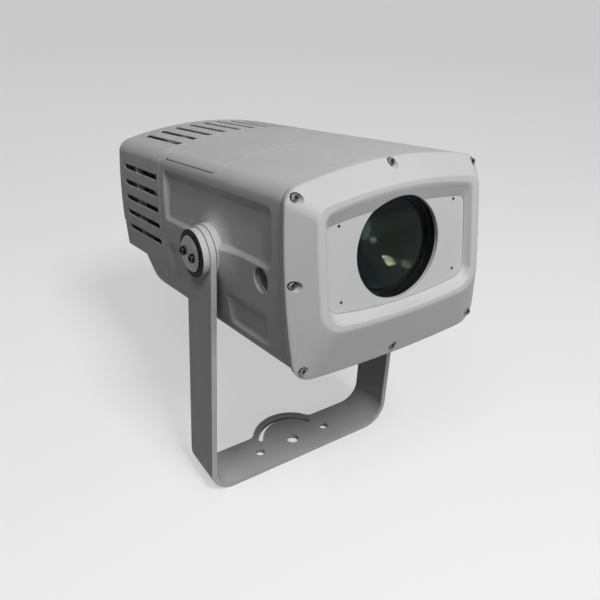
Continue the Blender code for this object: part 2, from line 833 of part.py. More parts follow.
def pivot_boss(side):
    """Round pad that the arm bears on, swept out of the side by a fillet."""
    root = side * (PAD_X + PAST)
    face = side * BOSS_X
    neck = side * (PAD_X + PAST + BOSS_FILLET + 1)
    profile = [(0, root), (BOSS_RADIUS + BOSS_FILLET + 1, root)]
    for i in range(3):
        angle = math.radians(45 * i)
        radius = BOSS_RADIUS + BOSS_FILLET * (1 - math.sin(angle))
        profile.append((radius, neck - side * BOSS_FILLET * math.cos(angle)))
    profile += [(BOSS_RADIUS, face - side * EDGE_CHAMFER), (BOSS_RADIUS - EDGE_CHAMFER, face), (0, face)]
    return turned("boss", profile, "X", (0, 0), 24)


def bezel_screw_places():
    """Where the bezel screws go, seen from the front."""
    corner_x = HEAD_HALF - SCREW_CORNER_INSET
    places = []
    for side in (-1, 1):
        places.append((side * corner_x, HEAD_TOP - SCREW_CORNER_DROP))
        places.append((side * corner_x, HEAD_BOTTOM + SCREW_CORNER_RISE))
        places.append((side * (HEAD_HALF - SCREW_SIDE_INSET), SCREW_SIDE_Z))
    return places + [(0, HEAD_TOP - SCREW_TOP_DROP), (0, HEAD_BOTTOM + SCREW_BOTTOM_RISE)]


def main_housing():
    """The one-piece casting between the bezel and the rear cover."""
    rings = []
    for y in (SEAM_Y + GAP / 2, REAR_SEAM_Y):
        rings.append(laid(outline(head_section(y)), "Y", y))
    body = loft("main_housing", rings)
    for side in (-1, 1):
        for spec in (UPPER_RECESS, FRONT_RECESS, REAR_RECESS):
            cut(body, recess_tool(spec, side))
        fuse(body, pivot_boss(side))
        low, high = sorted((side * (HEAD_HALF - PORT_DEPTH), side * (HEAD_HALF + PAST)))
        cut(body, rod("port", PORT_RADIUS, "X", (PORT_Y, PORT_Z), low, high, 20))
    cut(body, housing_cavity())
    cut(body, flange_opening(SEAM_Y - PAST, SEAM_Y + FLANGE_DEPTH + PAST))
    cut(body, flange_opening(REAR_SEAM_Y - FLANGE_DEPTH - PAST, REAR_SEAM_Y + PAST))
    cut(body, rod("bore", BORE_RADIUS, "X", (0, 0), -BOSS_X - PAST, BOSS_X + PAST, 24))
    cut(body, lid_step())
    cut(body, prism("hatch", lid_outline(-LID_LEDGE), "Z", LID_SKIRT_Z - 4 * PAST, HEAD_TOP + PAST))
    taps = []
    for x, z in bezel_screw_places():
        taps.append(rod("tap", BEZEL_SCREW_RADIUS + GAP, "Y", (x, z), SEAM_Y - PAST, TAP_END_Y, 8))
    return cut(body, gathered("taps", taps))


def top_cover():
    """Access cover that follows the roof, with a shallow skirt over each shoulder."""
    cover = roof_skin("top_cover", 0.0)
    cut(cover, roof_skin("under", LID_THICKNESS))
    return keep(cover, prism("plan", lid_outline(0.0), "Z", LID_SKIRT_Z + GAP, HEAD_TOP + PAST))


def top_cover_gasket():
    """Flat seal on the ledge under the top cover."""
    seal = roof_skin("top_cover_gasket", LID_THICKNESS + GAP)
    cut(seal, roof_skin("under", LID_THICKNESS + LID_GASKET + GAP))
    edge = lid_outline(-LID_GASKET_INSET)
    keep(seal, prism("plan", edge, "Z", LID_SKIRT_Z + GAP, HEAD_TOP + PAST))
    middle = lid_outline(-LID_GASKET_INSET - LID_GASKET_WIDTH)
    return cut(seal, prism("middle", middle, "Z", 0, HEAD_TOP + 2 * PAST))


# Bezel

def crease_section():
    """The widest outline of the bezel, where its facets start."""
    return Section(
        HEAD_HALF + CREASE_FLARE,
        HEAD_TOP + 0.1,
        HEAD_BOTTOM - CREASE_DROP,
        SHOULDER_RADIUS + 1,
        CHINE_RADIUS,
        CROWN,
        BELLY,
        BARREL - 0.5,
    )


def rim_bottom():
    """Lowest outer edge of the rim, set by the plate and the walls below it."""
    return PLATE_BOTTOM - WINDOW_BOTTOM_RUN - RIM_LAND_BOTTOM


def rim_section():
    """Outer edge of the flat rim round the window."""
    crease = crease_section()
    half = crease.half - FACET_SIDE
    return Section(half, crease.top - FACET_TOP, rim_bottom(), *RIM_FORM)


def window_section():
    """Inner edge of the rim."""
    rim = rim_section()
    half = rim.half - RIM_LAND_SIDE
    bottom = rim.bottom + RIM_LAND_BOTTOM
    return Section(half, rim.top - RIM_LAND_TOP, bottom, *WINDOW_FORM)


def plate_section():
    """Floor of the window, where the lens plate lies."""
    window = window_section()
    half = window.half - WINDOW_SIDE_RUN
    return Section(half, window.top - WINDOW_TOP_RUN, PLATE_BOTTOM, *PLATE_FORM)


def blended(first, second, share):
    """A section part of the way from one to another."""
    return Section(*(a + (b - a) * share for a, b in zip(first, second)))


def bezel_skin():
    """Outside of the bezel: side band, softened crease, sloped facets and rim."""
    seam = head_section(SEAM_Y)
    crease = crease_section()
    rim = rim_section()
    run = CREASE_Y - FRONT_Y
    stations = (
        (SEAM_Y - GAP / 2, seam),
        (CREASE_Y + CREASE_EASE, blended(seam, crease, 0.82)),
        (CREASE_Y, blended(crease, rim, 0.02)),
        (CREASE_Y - CREASE_EASE, blended(crease, rim, 0.12)),
        (FRONT_Y + RIM_EDGE, blended(crease, rim, 1 - RIM_EDGE / run)),
        (FRONT_Y + RIM_EDGE / 4, rim),
    )
    rings = [laid(outline(section), "Y", y) for y, section in stations]
    rings.append(laid(outline(rim, 0.75 * RIM_EDGE), "Y", FRONT_Y))
    return loft("front_bezel", rings)


def bezel_cavity():
    """Hollow behind the facets, running round a core that backs the window walls."""
    crease = crease_section()
    rim = rim_section()
    r_top, r_bottom = CAVITY_CORNERS
    hollow = crease._replace(
        half=HEAD_HALF - BEZEL_CAVITY_SIDE,
        top=HEAD_TOP - BEZEL_CAVITY_TOP,
        bottom=HEAD_BOTTOM + BEZEL_CAVITY_BOTTOM,
        r_top=r_top,
        r_bottom=r_bottom,
    )
    front_share = (CREASE_Y - PLATE_Y - 1) / (CREASE_Y - FRONT_Y)
    facet = blended(crease, rim, front_share)
    front = facet._replace(
        half=facet.half - FACET_WALL,
        top=facet.top - FACET_WALL,
        bottom=facet.bottom + FACET_WALL_BOTTOM,
        r_top=r_top,
        r_bottom=r_bottom,
    )
    rings = [
        laid(outline(hollow, 0.0, PLAIN), "Y", SEAM_Y + PAST),
        laid(outline(hollow, 0.0, PLAIN), "Y", CREASE_Y - 2 * CREASE_EASE),
        laid(outline(front, 0.0, PLAIN), "Y", PLATE_Y - 1),
    ]
    cavity = loft("cavity", rings)
    plate = plate_section()
    core = plate._replace(
        half=plate.half + CORE_SIDE, top=plate.top + CORE_TOP, bottom=plate.bottom - CORE_BOTTOM
    )
    back = PLATE_BACK_Y + BEZEL_WALL
    return cut(cavity, loft("core", [laid(outline(core, 0.0, PLAIN), "Y", y) for y in (FRONT_Y, back)]))


def front_bezel():
    """Sloped front frame with its window, screw seats and gasket groove."""
    bezel = bezel_skin()
    cut(bezel, bezel_cavity())
    window = window_section()
    plate = plate_section()
    flare = 2.0 / WINDOW_DEPTH
    mouth = blended(plate, window, 1 + flare)
    rings = [
        laid(outline(mouth), "Y", FRONT_Y - 2),
        laid(outline(plate), "Y", PLATE_Y),
        laid(outline(plate), "Y", PLATE_BACK_Y),
    ]
    cut(bezel, loft("window", rings))
    front = FRONT_Y - PAST
    cut(bezel, rod("lens hole", LENS_RADIUS, "Y", (0, LENS_Z), front, PLATE_BACK_Y + 1, 40))
    cut(bezel, rod("barrel hole", BARREL_OUTER + 2 * GAP, "Y", (0, LENS_Z), PLATE_BACK_Y, SEAM_Y, 40))
    mouth = COUNTERBORE_RADIUS + COUNTERBORE_DRAFT * (SCREW_SEAT_Y - front)
    profile = [(0, front), (mouth, front), (COUNTERBORE_RADIUS, SCREW_SEAT_Y), (0, SCREW_SEAT_Y)]
    seats = []
    shanks = []
    for x, z in bezel_screw_places():
        seats.append(turned("seat", profile, "Y", (x, z), 12))
        run = (SCREW_SEAT_Y - 1, SEAM_Y + PAST)
        shanks.append(rod("shank", BEZEL_SCREW_RADIUS + GAP, "Y", (x, z), *run, 8))
    cut(bezel, gathered("seats", seats), gathered("shanks", shanks))
    wide = GASKET_WIDTH + 2 * GAP
    return cut(bezel, seal_ring("groove", GASKET_INSET - GAP, wide, SEAM_Y - GASKET_DEPTH, SEAM_Y + 1))


def seal_ring(name, inset, width, y_from, y_to):
    """A ring that follows the seam, some way in from the surface."""
    section = head_section(SEAM_Y)
    ring = loft(name, [laid(outline(section, inset, PLAIN), "Y", y) for y in (y_from, y_to)])
    middle = outline(section, inset + width, PLAIN)
    inner = loft("inner", [laid(middle, "Y", y) for y in (y_from - PAST, y_to + PAST)])
    return cut(ring, inner)


def bezel_gasket():
    """Seal between the bezel and the housing."""
    ends = (SEAM_Y - GASKET_DEPTH + GAP, SEAM_Y - GAP / 2)
    return seal_ring("bezel_gasket", GASKET_INSET, GASKET_WIDTH, *ends)


def lens_plate():
    """Flat plate in the window, open at the top where the lens breaks its edge."""
    plate = plate_section()
    rings = [laid(outline(plate, GAP), "Y", y) for y in (PLATE_Y + GAP, PLATE_BACK_Y - GAP)]
    made = loft("lens_plate", rings)
    return cut(made, rod("hole", LENS_RADIUS, "Y", (0, LENS_Z), FRONT_Y, SEAM_Y, 40))


# Rear cover

def step_profile(depth):
    """What the stepped underside takes away, as an outline of y and z, moved in by a depth."""
    slope = (STEP_Z - HEAD_BOTTOM) / (STEP_END_Y - STEP_START_Y)
    low = HEAD_BOTTOM - 30
    run = [
        (STEP_START_Y - 30 / slope, low),
        (STEP_END_Y, STEP_Z),
        (SILL_Y, STEP_Z),
        (SILL_Y, SILL_Z),
        (REAR_Y + 20, SILL_Z),
    ]
    moved = offset_run(run, depth) if depth else run
    return moved + [(REAR_Y + 20, low - 5), (moved[0][0], low - 5)]


def cover_form(name, inset, y_from, y_to, edge, steps=FINE):
    """The rear cover's form with a rounded rear edge."""
    rings = [laid(outline(head_section(y_from), inset, steps), "Y", y_from)]
    for i in range(3):
        angle = math.radians(45 * i)
        y = y_to - edge + edge * math.sin(angle)
        grown = inset + edge * (1 - math.cos(angle))
        rings.append(laid(outline(head_section(y), grown, steps), "Y", y))
    return loft(name, rings)


def slot_run(centre_u, front, width):
    """Outline of one slot, as along-y and across values."""
    return rounded_rectangle(front, SLOT_REAR_Y, centre_u - width / 2, centre_u + width / 2, SLOT_CORNER, 1)


def rear_cover():
    """Vented cover round the heat sink and fans."""
    cover = cover_form("rear_cover", 0.0, BULKHEAD_Y, REAR_Y, COVER_EDGE_RADIUS)
    wide = HEAD_HALF + PAST
    cut(cover, prism("step", step_profile(0), "X", -wide, wide))
    inside = cover_form("inside", COVER_WALL, BULKHEAD_Y - PAST, REAR_Y - COVER_WALL, COVER_EDGE_RADIUS / 2)
    cut(inside, prism("step", step_profile(COVER_WALL), "X", -wide, wide))
    cut(cover, inside)
    sides = []
    for i in range(SIDE_SLOTS):
        z = SIDE_SLOT_TOP_Z - i * SIDE_SLOT_PITCH
        sides.append(prism("slot", slot_run(z, SLOT_FRONT_Y, SLOT_WIDTH), "X", -wide, wide))
    tops = []
    for i in range(TOP_SLOTS):
        x = (i - (TOP_SLOTS - 1) / 2) * TOP_SLOT_PITCH
        across = [(v, u) for u, v in slot_run(x, TOP_SLOT_FRONT_Y, SLOT_WIDTH)]
        tops.append(prism("slot", across, "Z", SIDE_SLOT_TOP_Z + SLOT_WIDTH, HEAD_TOP + PAST))
    cut(cover, gathered("sides", sides), gathered("tops", tops))
    half = RIB_THICKNESS / 2
    low = SIDE_SLOT_TOP_Z - (SIDE_SLOTS - 0.5) * SIDE_SLOT_PITCH
    high = SIDE_SLOT_TOP_Z + SIDE_SLOT_PITCH / 2
    for side in (-1, 1):
        x0, x1 = sorted((side * (HEAD_HALF - COVER_WALL - RIB_DEPTH), side * HEAD_HALF))
        rib = block("rib", x0, x1, RIB_Y - half, RIB_Y + half, low, high)
        fuse(cover, keep(rib, cover_form("form", RIB_INSET, BULKHEAD_Y, REAR_Y, COVER_EDGE_RADIUS)))
    hole = (STEP_Z - PAST, STEP_Z + COVER_WALL + PAST)
    return cut(cover, rod("gland hole", GLAND_RADIUS + GAP, "Z", (0, GLAND_Y), *hole, 12))


def cable_gland():
    """Turned gland through the floor of the rear step, with its nut inside and a blind bore."""
    low = STEP_Z - GAP
    high = STEP_Z + COVER_WALL + GAP
    wide = GLAND_RADIUS + GLAND_FLANGE
    neck = GLAND_RADIUS + GLAND_FLANGE / 2
    profile = [
        (0, high + GLAND_NUT),
        (wide, high + GLAND_NUT),
        (wide, high),
        (GLAND_RADIUS, high),
        (GLAND_RADIUS, low),
        (wide, low),
        (wide, low - GLAND_NUT - 1),
        (neck, low - GLAND_NUT - 2),
        (neck, low - GLAND_BODY),
        (GLAND_RADIUS - GLAND_FLANGE / 2, low - GLAND_LENGTH),
        (GLAND_BORE, low - GLAND_LENGTH),
        (GLAND_BORE, low - GLAND_NUT),
        (0, low - GLAND_NUT),
    ]
    return turned("cable_gland", profile, "Z", (0, GLAND_Y), 12)


# Light engine

def rear_bulkhead():
    """Plate that closes the housing and carries the heat sink."""
    section = head_section(BULKHEAD_Y)
    ends = (BULKHEAD_Y, BULKHEAD_Y + BULKHEAD_THICKNESS)
    plate = loft("rear_bulkhead", [laid(outline(section, COVER_WALL + 2 * GAP), "Y", y) for y in ends])
    half = PEDESTAL_HALF + 1
    hole = block("hole", -half, half, BULKHEAD_Y - PAST, SINK_Y + PAST, LENS_Z - half, LENS_Z + half)
    return cut(plate, hole)


def heat_sink():
    """Comb of fins on a base, with a pedestal that reaches through the bulkhead to the LED."""
    pitch = (2 * SINK_HALF - FIN_THICKNESS) / (FIN_COUNT - 1)
    base = SINK_Y + SINK_BASE
    comb = [(SINK_HALF, SINK_Y)]
    for i in reversed(range(FIN_COUNT)):
        x = -SINK_HALF + i * pitch
        comb += [(x + FIN_THICKNESS, base), (x + FIN_THICKNESS, SINK_END_Y), (x, SINK_END_Y), (x, base)]
    comb = comb[:1] + comb[2:-1] + [(-SINK_HALF, SINK_Y)]
    sink = prism("heat_sink", comb, "Z", SINK_BOTTOM, SINK_TOP)
    half = PEDESTAL_HALF
    return fuse(sink, block("pedestal", -half, half, LED_Y, SINK_Y + 2, LENS_Z - half, LENS_Z + half))


def led_board():
    """Board with a raised emitter on its front."""
    half = LED_BOARD_HALF
    back = LED_Y - GAP
    front = back - LED_BOARD_THICKNESS
    board = block("led_board", -half, half, front, back, LENS_Z - half, LENS_Z + half)
    run = (front - EMITTER_HEIGHT, front + 1)
    return fuse(board, rod("emitter", EMITTER_RADIUS, "Y", (0, LENS_Z), *run, 16))


def lens(name, radius, front, edge_front, edge_back, back, centre=(0.0, 0.0), steps=20):
    """A turned lens: its two faces are domes that meet a plain edge."""
    profile = []
    for i in range(4):
        share = i / 3
        profile.append((radius * share, front + (edge_front - front) * share * share))
    for i in reversed(range(3)):
        share = i / 2
        profile.append((radius * share, back + (edge_back - back) * share * share))
    return turned(name, profile, "Y", centre, steps)


def condenser_holder():
    """Short tube with an inner shoulder for the lens, on a foot that stands on the bench."""
    inner = CONDENSER_RADIUS + GAP
    outer = inner + CONDENSER_WALL
    start = CONDENSER_Y
    end = start + CONDENSER_LENGTH
    shoulder = start + CONDENSER_SEAT
    profile = [
        (inner - 3, start),
        (outer, start),
        (outer, end),
        (inner, end),
        (inner, shoulder),
        (inner - 3, shoulder),
    ]
    holder = turned("condenser_holder", profile, "Y", (0, LENS_Z), 16, ring=True)
    foot = block("foot", -18, 18, shoulder + 4, shoulder + 14, BENCH_TOP + GAP, LENS_Z - inner - 1)
    return fuse(holder, foot)


def condenser_lens():
    """Thick lens that gathers the light on to the gobo."""
    start = CONDENSER_Y + CONDENSER_SEAT + GAP
    return lens("condenser_lens", CONDENSER_RADIUS, start + 1, start, start + 8, start + 16, (0, LENS_Z), 16)


# Projection optics

def lens_barrel():
    """Fixed tube with a shoulder for the front lens and a flange on the bench's front upright."""
    flange = BARREL_REAR_Y - BARREL_WALL
    shoulder = LENS_SEAT_Y
    profile = [
        (BARREL_INNER, BARREL_FRONT_Y),
        (BARREL_OUTER, BARREL_FRONT_Y),
        (BARREL_OUTER, flange),
        (BARREL_OUTER + BARREL_FLANGE, flange),
        (BARREL_OUTER + BARREL_FLANGE, BARREL_REAR_Y - GAP),
        (BARREL_INNER - BARREL_BAFFLE, BARREL_REAR_Y - GAP),
        (BARREL_INNER - BARREL_BAFFLE, flange),
        (BARREL_INNER - LENS_LAND, shoulder + 2 * PAST),
        (BARREL_INNER - LENS_LAND, shoulder),
        (BARREL_INNER, shoulder),
    ]
    return turned("lens_barrel", profile, "Y", (0, LENS_Z), 24, ring=True)


def front_lens():
    """Large front element, domed towards the stage."""
    edge = LENS_SEAT_Y - 2 * GAP
    return lens("front_lens", BARREL_INNER - GAP, edge - 12, edge - 4, edge, edge + 3, (0, LENS_Z), 24)


def optical_bench():
    """Bent plate on feet, with an upright at the lens and one at the gobo."""
    half = BENCH_HALF
    bench = block("optical_bench", -half, half, BENCH_FRONT_Y, BENCH_REAR_Y, BENCH_Z, BENCH_TOP)
    foot_x = half - FOOT_SIDE_INSET
    for x in (-foot_x, foot_x):
        for y in (BENCH_FRONT_Y + FOOT_INSET, BENCH_REAR_Y - FOOT_INSET):
            foot = floor_z(abs(x) + FOOT_RADIUS) + GAP
            fuse(bench, rod("foot", FOOT_RADIUS, "Z", (x, y), foot, BENCH_Z + 1, 8))
    lens_half = BARREL_OUTER + 4
    front = (BARREL_REAR_Y, BARREL_REAR_Y + UPRIGHT_THICKNESS)
    fuse(bench, block("upright", -lens_half, lens_half, *front, BENCH_Z + 1, LENS_Z + lens_half - 6))
    gate = (GATE_Y, GATE_Y + UPRIGHT_THICKNESS)
    gate_half = ROD_X + UPRIGHT_MARGIN
    fuse(bench, block("upright", -gate_half, gate_half, *gate, BENCH_Z + 1, SCREW_Z + UPRIGHT_MARGIN))
    across_gate = (GATE_Y - PAST, GATE_Y + 2 * PAST)
    across_lens = (BARREL_REAR_Y - PAST, BARREL_REAR_Y + 2 * PAST)
    cut(bench, rod("gate", GOBO_RADIUS + 2, "Y", (0, LENS_Z), *across_gate, 12))
    cut(bench, rod("light", FOCUS_LENS_RADIUS + 6, "Y", (0, LENS_Z), *across_lens, 16))
    cut(bench, rod("shaft", GOBO_SHAFT_RADIUS + 2, "Y", (0, WHEEL_Z), *across_gate, 8))
    across_both = (BARREL_REAR_Y - PAST, GATE_Y + 2 * PAST)
    bores = [rod("bore", LEAD_SCREW_RADIUS + SLIDE_FIT, "Y", (0, SCREW_Z), *across_both, 8)]
    for x in (-ROD_X, ROD_X):
        bores.append(rod("bore", ROD_RADIUS + SLIDE_FIT, "Y", (x, LENS_Z), *across_both, 10))
    return cut(bench, gathered("bores", bores))


def focus_rod(name, side):
    """Guide rod held in both uprights."""
    high = GATE_Y + UPRIGHT_THICKNESS
    return rod(name, ROD_RADIUS, "Y", (side * ROD_X, LENS_Z), BARREL_REAR_Y, high, 10)


def focus_carriage():
    """Lens cell with ears on both guide rods and a nut on the lead screw, about its own centre."""
    inner = FOCUS_LENS_RADIUS + GAP
    outer = inner + CARRIAGE_WALL
    lip = inner - CARRIAGE_LIP
    end = CARRIAGE_HALF
    seat = -CARRIAGE_SEAT
    profile = [(lip, -end), (outer, -end), (outer, end), (inner, end), (inner, seat), (lip, seat)]
    carriage = turned("focus_carriage", profile, "Y", (0, 0), 16, ring=True)
    root = inner + CARRIAGE_WALL / 2
    half = CARRIAGE_ARM_HALF
    arms = []
    for x in (-ROD_X, ROD_X):
        x0, x1 = sorted((math.copysign(root, x), x))
        arms.append(block("arm", x0, x1, -half, half, -half, half))
        arms.append(rod("ear", EAR_RADIUS, "Y", (x, 0), -EAR_HALF, EAR_HALF, 8))
    arms.append(block("arm", -half, half, -half, half, root, LEAD_SCREW_RISE))
    arms.append(rod("nut", NUT_RADIUS, "Y", (0, LEAD_SCREW_RISE), -EAR_HALF, EAR_HALF, 8))
    fuse(carriage, *arms)
    through = (-EAR_HALF - PAST, EAR_HALF + PAST)
    bores = [rod("bore", LEAD_SCREW_RADIUS + SLIDE_FIT, "Y", (0, LEAD_SCREW_RISE), *through, 8)]
    for x in (-ROD_X, ROD_X):
        bores.append(rod("bore", ROD_RADIUS + SLIDE_FIT, "Y", (x, 0), *through, 10))
    return cut(carriage, gathered("bores", bores))


def focus_lens():
    """Moving lens, about the carriage's centre."""
    return lens("focus_lens", FOCUS_LENS_RADIUS, -2, -2 + GAP, 4, 6.5, (0, 0), 16)


def focus_lead_screw():
    """Lead screw from the motor to the front upright, about its own axis."""
    ends = (BARREL_REAR_Y + SLIDE_FIT, GATE_Y + SCREW_ENGAGEMENT)
    return rod("focus_lead_screw", LEAD_SCREW_RADIUS, "Y", (0, 0), *ends, 8)


def focus_motor():
    """Flat motor behind the gate upright, with a blind bore for the screw."""
    front = GATE_Y + UPRIGHT_THICKNESS + GAP
    motor = rod("focus_motor", FOCUS_MOTOR_RADIUS, "Y", (0, SCREW_Z), front, front + FOCUS_MOTOR_LENGTH, 16)
    bottom = GATE_Y + SCREW_ENGAGEMENT + 1
    bore = rod("bore", LEAD_SCREW_RADIUS + SLIDE_FIT, "Y", (0, SCREW_Z), front - PAST, bottom, 8)
    return cut(motor, bore)


# Gobo wheel

def gobo_wheel():
    """Wheel with stepped apertures and a hub, about its own axis."""
    half = WHEEL_THICKNESS / 2
    outer = GOBO_PITCH_RADIUS + GOBO_RADIUS + WHEEL_RIM
    hub = GOBO_SHAFT_RADIUS + GAP
    end = half + HUB_HEIGHT
    raised = [(HUB_RADIUS, half), (HUB_RADIUS, end), (hub, end)]
    profile = [(hub, -half), (outer, -half), (outer, half)] + raised
    wheel = turned("gobo_wheel", profile, "Y", (0, 0), 24, ring=True, phase=0.5)
    for i in range(GOBO_COUNT):
        place = gobo_place(i)
        cut(wheel, rod("aperture", GOBO_RADIUS - APERTURE_LIP, "Y", place, -PAST, PAST, 12))
        cut(wheel, rod("seat", GOBO_RADIUS + GAP, "Y", place, -PAST, half - GOBO_LIP, 12))
    return wheel


def gobo_place(index):
    """Centre of an aperture about the wheel's axis, the first one at the top."""
    angle = math.tau * index / GOBO_COUNT
    return GOBO_PITCH_RADIUS * math.sin(angle), GOBO_PITCH_RADIUS * math.cos(angle)


def gobo_glass(index):
    """One patterned glass, seated in its aperture."""
    name = f"gobo_glass_{index + 1}"
    back = WHEEL_THICKNESS / 2 - GOBO_LIP - GAP
    return rod(name, GOBO_RADIUS, "Y", gobo_place(index), back - GOBO_THICKNESS, back, 12)


def gobo_shaft():
    """Shaft from the motor to the wheel's hub, about its own axis."""
    end = WHEEL_THICKNESS / 2 + HUB_HEIGHT
    start = GATE_Y - SHAFT_ENGAGEMENT - WHEEL_Y
    return rod("gobo_shaft", GOBO_SHAFT_RADIUS, "Y", (0, 0), start, end, 12)


def gobo_motor():
    """Motor in front of the gate upright, with a blind bore for the shaft."""
    back = GATE_Y - GAP
    motor = rod("gobo_motor", GOBO_MOTOR_RADIUS, "Y", (0, WHEEL_Z), back - GOBO_MOTOR_LENGTH, back, 16)
    bottom = GATE_Y - SHAFT_ENGAGEMENT - 1
    bore = rod("bore", GOBO_SHAFT_RADIUS + SLIDE_FIT, "Y", (0, WHEEL_Z), bottom, back + PAST, 8)
    return cut(motor, bore)


# Electronics

def led_driver():
    """Closed power supply box on the bench, under the lens barrel."""
    z0 = BENCH_TOP + GAP
    top = LENS_Z - BARREL_OUTER - 2 * PAST
    run = (BENCH_FRONT_Y + 3, BARREL_REAR_Y - BARREL_WALL - 3)
    return block("led_driver", -DRIVER_HALF, DRIVER_HALF, *run, z0, top)


def control_board():
    """Board on four spacers between the two uprights."""
    z0 = BENCH_TOP + GAP
    z1 = z0 + SPACER_HEIGHT
    y0 = BARREL_REAR_Y + 2 * PAST
    y1 = GATE_Y - SPACER_INSET
    board = block("control_board", -BOARD_HALF, BOARD_HALF, y0, y1, z1, z1 + BOARD_THICKNESS)
    spacer_x = BOARD_HALF - SPACER_INSET
    for x in (-spacer_x, spacer_x):
        for y in (y0 + SPACER_INSET, y1 - SPACER_INSET):
            fuse(board, rod("spacer", SPACER_RADIUS, "Z", (x, y), z0, z1 + BOARD_THICKNESS / 2, 10))
    middle = (y0 + y1) / 2
    for x, (long, wide, high) in ((-BOARD_HALF / 2, CONNECTOR), (BOARD_HALF / 3, CHIP)):
        across = (x - long / 2, x + long / 2)
        run = (middle - wide / 2, middle + wide / 2)
        fuse(board, block("component", *across, *run, z1 + 1, z1 + BOARD_THICKNESS + high))
    return board


# Fans

def fan_frame(name, side):
    """Square frame with a round duct, a stator on four spokes and a pin for the rotor."""
    x = side * FAN_SPACING / 2
    half = FAN_SIZE / 2
    back = FAN_Y + FAN_DEPTH
    outer = rounded_rectangle(x - half, x + half, FAN_Z - half, FAN_Z + half, 4, 2)
    made = prism(name, outer, "Y", FAN_Y, back)
    cut(made, rod("duct", FAN_BORE, "Y", (x, FAN_Z), FAN_Y - PAST, back + PAST, 24))
    run = (back - SPOKE_DEPTH, back - GAP)
    for wide, tall in ((FAN_BORE + 1, SPOKE_HALF), (SPOKE_HALF, FAN_BORE + 1)):
        fuse(made, block("spoke", x - wide, x + wide, *run, FAN_Z - tall, FAN_Z + tall))
    face = back - STATOR_DEPTH
    profile = [
        (0, face - FAN_PIN_LENGTH),
        (FAN_PIN, face - FAN_PIN_LENGTH),
        (FAN_PIN, face),
        (FAN_HUB - 2, face),
        (FAN_HUB - 2, back - 0.1),
        (0, back - 0.1),
    ]
    return fuse(made, turned("stator", profile, "Y", (x, FAN_Z), 12))


def fan_blade(angle):
    """One twisted blade, lofted from the hub out to its tip."""
    rings = []
    for radius, chord, pitch in BLADE_STATIONS:
        along = (-math.sin(angle), math.cos(angle))
        lean = math.radians(pitch)
        ring = []
        for c, t in ((-0.5, -0.5), (0.5, -0.5), (0.5, 0.5), (-0.5, 0.5)):
            flat = c * chord * math.cos(lean) - t * BLADE_THICKNESS * math.sin(lean)
            deep = c * chord * math.sin(lean) + t * BLADE_THICKNESS * math.cos(lean)
            x = radius * math.cos(angle) + flat * along[0]
            z = radius * math.sin(angle) + flat * along[1]
            ring.append((x, deep, z))
        rings.append(ring)
    return loft("blade", rings)


def fan_rotor(name):
    """Hub with a blind bore and a ring of blades, about its own axis."""
    bore = FAN_PIN + SLIDE_FIT
    half = ROTOR_HALF
    face = [(0, -half), (FAN_HUB - 1, -half), (FAN_HUB, 1 - half), (FAN_HUB, half)]
    profile = face + [(bore, half), (bore, 4 - half), (0, 4 - half)]
    rotor = turned(name, profile, "Y", (0, 0), 16)
    for i in range(FAN_BLADES):
        fuse(rotor, fan_blade(math.tau * i / FAN_BLADES))
    return rotor


def blanking_plug(name, side):
    """Dark plug on the floor of the round port."""
    floor = HEAD_HALF - PORT_DEPTH + GAP
    low, high = sorted((side * floor, side * (floor + PLUG_THICKNESS)))
    plug = rod(name, PORT_RADIUS - GAP, "X", (PORT_Y, PORT_Z), low, high, 20)
    low, high = sorted((side * (floor + 1), side * (floor + PORT_DEPTH)))
    return cut(plug, rod("socket", PLUG_SOCKET, "X", (PORT_Y, PORT_Z), low, high, 6))


# Assembly

def build_yoke(coats):
    """The pieces that stay put."""
    stand = frame("yoke")
    finish(yoke_bracket(), stand, coats["cast"])
    for name, side in (("left", -1), ("right", 1)):
        finish(pivot_collar(f"pivot_collar_{name}", side), stand, coats["cast"])


def build_pivots(head, coats):
    """Shaft, washer, disc and screws on each side."""
    sizes = (CLAMP_SCREW_RADIUS, CLAMP_HEAD_RADIUS, CLAMP_HEAD_HEIGHT, CLAMP_SCREW_LENGTH)
    for name, side in (("left", -1), ("right", 1)):
        finish(pivot_shaft(f"pivot_shaft_{name}", side), head, coats["steel"])
        finish(friction_washer(f"friction_washer_{name}", side), head, coats["black"])
        finish(clamp_disc(f"clamp_disc_{name}", side), head, coats["steel"])
        for way, place in (("front", -1), ("rear", 1)):
            centre = screw_place(place)
            seat = side * (CLAMP_END_X + GAP)
            screw = socket_screw(f"clamp_screw_{name}_{way}", "X", centre, seat, side, sizes)
            finish(screw, head, coats["black"])


def build_castings(head, coats):
    """Housing, bezel, plate, covers and their seals and fasteners."""
    finish(main_housing(), head, coats["cast"])
    finish(front_bezel(), head, coats["cast"])
    finish(bezel_gasket(), head, coats["rubber"])
    finish(lens_plate(), head, coats["cast"])
    finish(rear_cover(), head, coats["cast"])
    finish(top_cover_gasket(), head, coats["rubber"])
    finish(cable_gland(), head, coats["black"])
    for name, side in (("left", -1), ("right", 1)):
        finish(blanking_plug(f"blanking_plug_{name}", side), head, coats["black"])
    length = TAP_END_Y - 1 - SCREW_SEAT_Y
    sizes = (BEZEL_SCREW_RADIUS, BEZEL_HEAD_RADIUS, BEZEL_HEAD_HEIGHT, length)
    for i, centre in enumerate(bezel_screw_places()):
        screw = socket_screw(f"bezel_screw_{i + 1}", "Y", centre, SCREW_SEAT_Y - GAP, -1, sizes, 10)
        finish(screw, head, coats["dark_steel"])


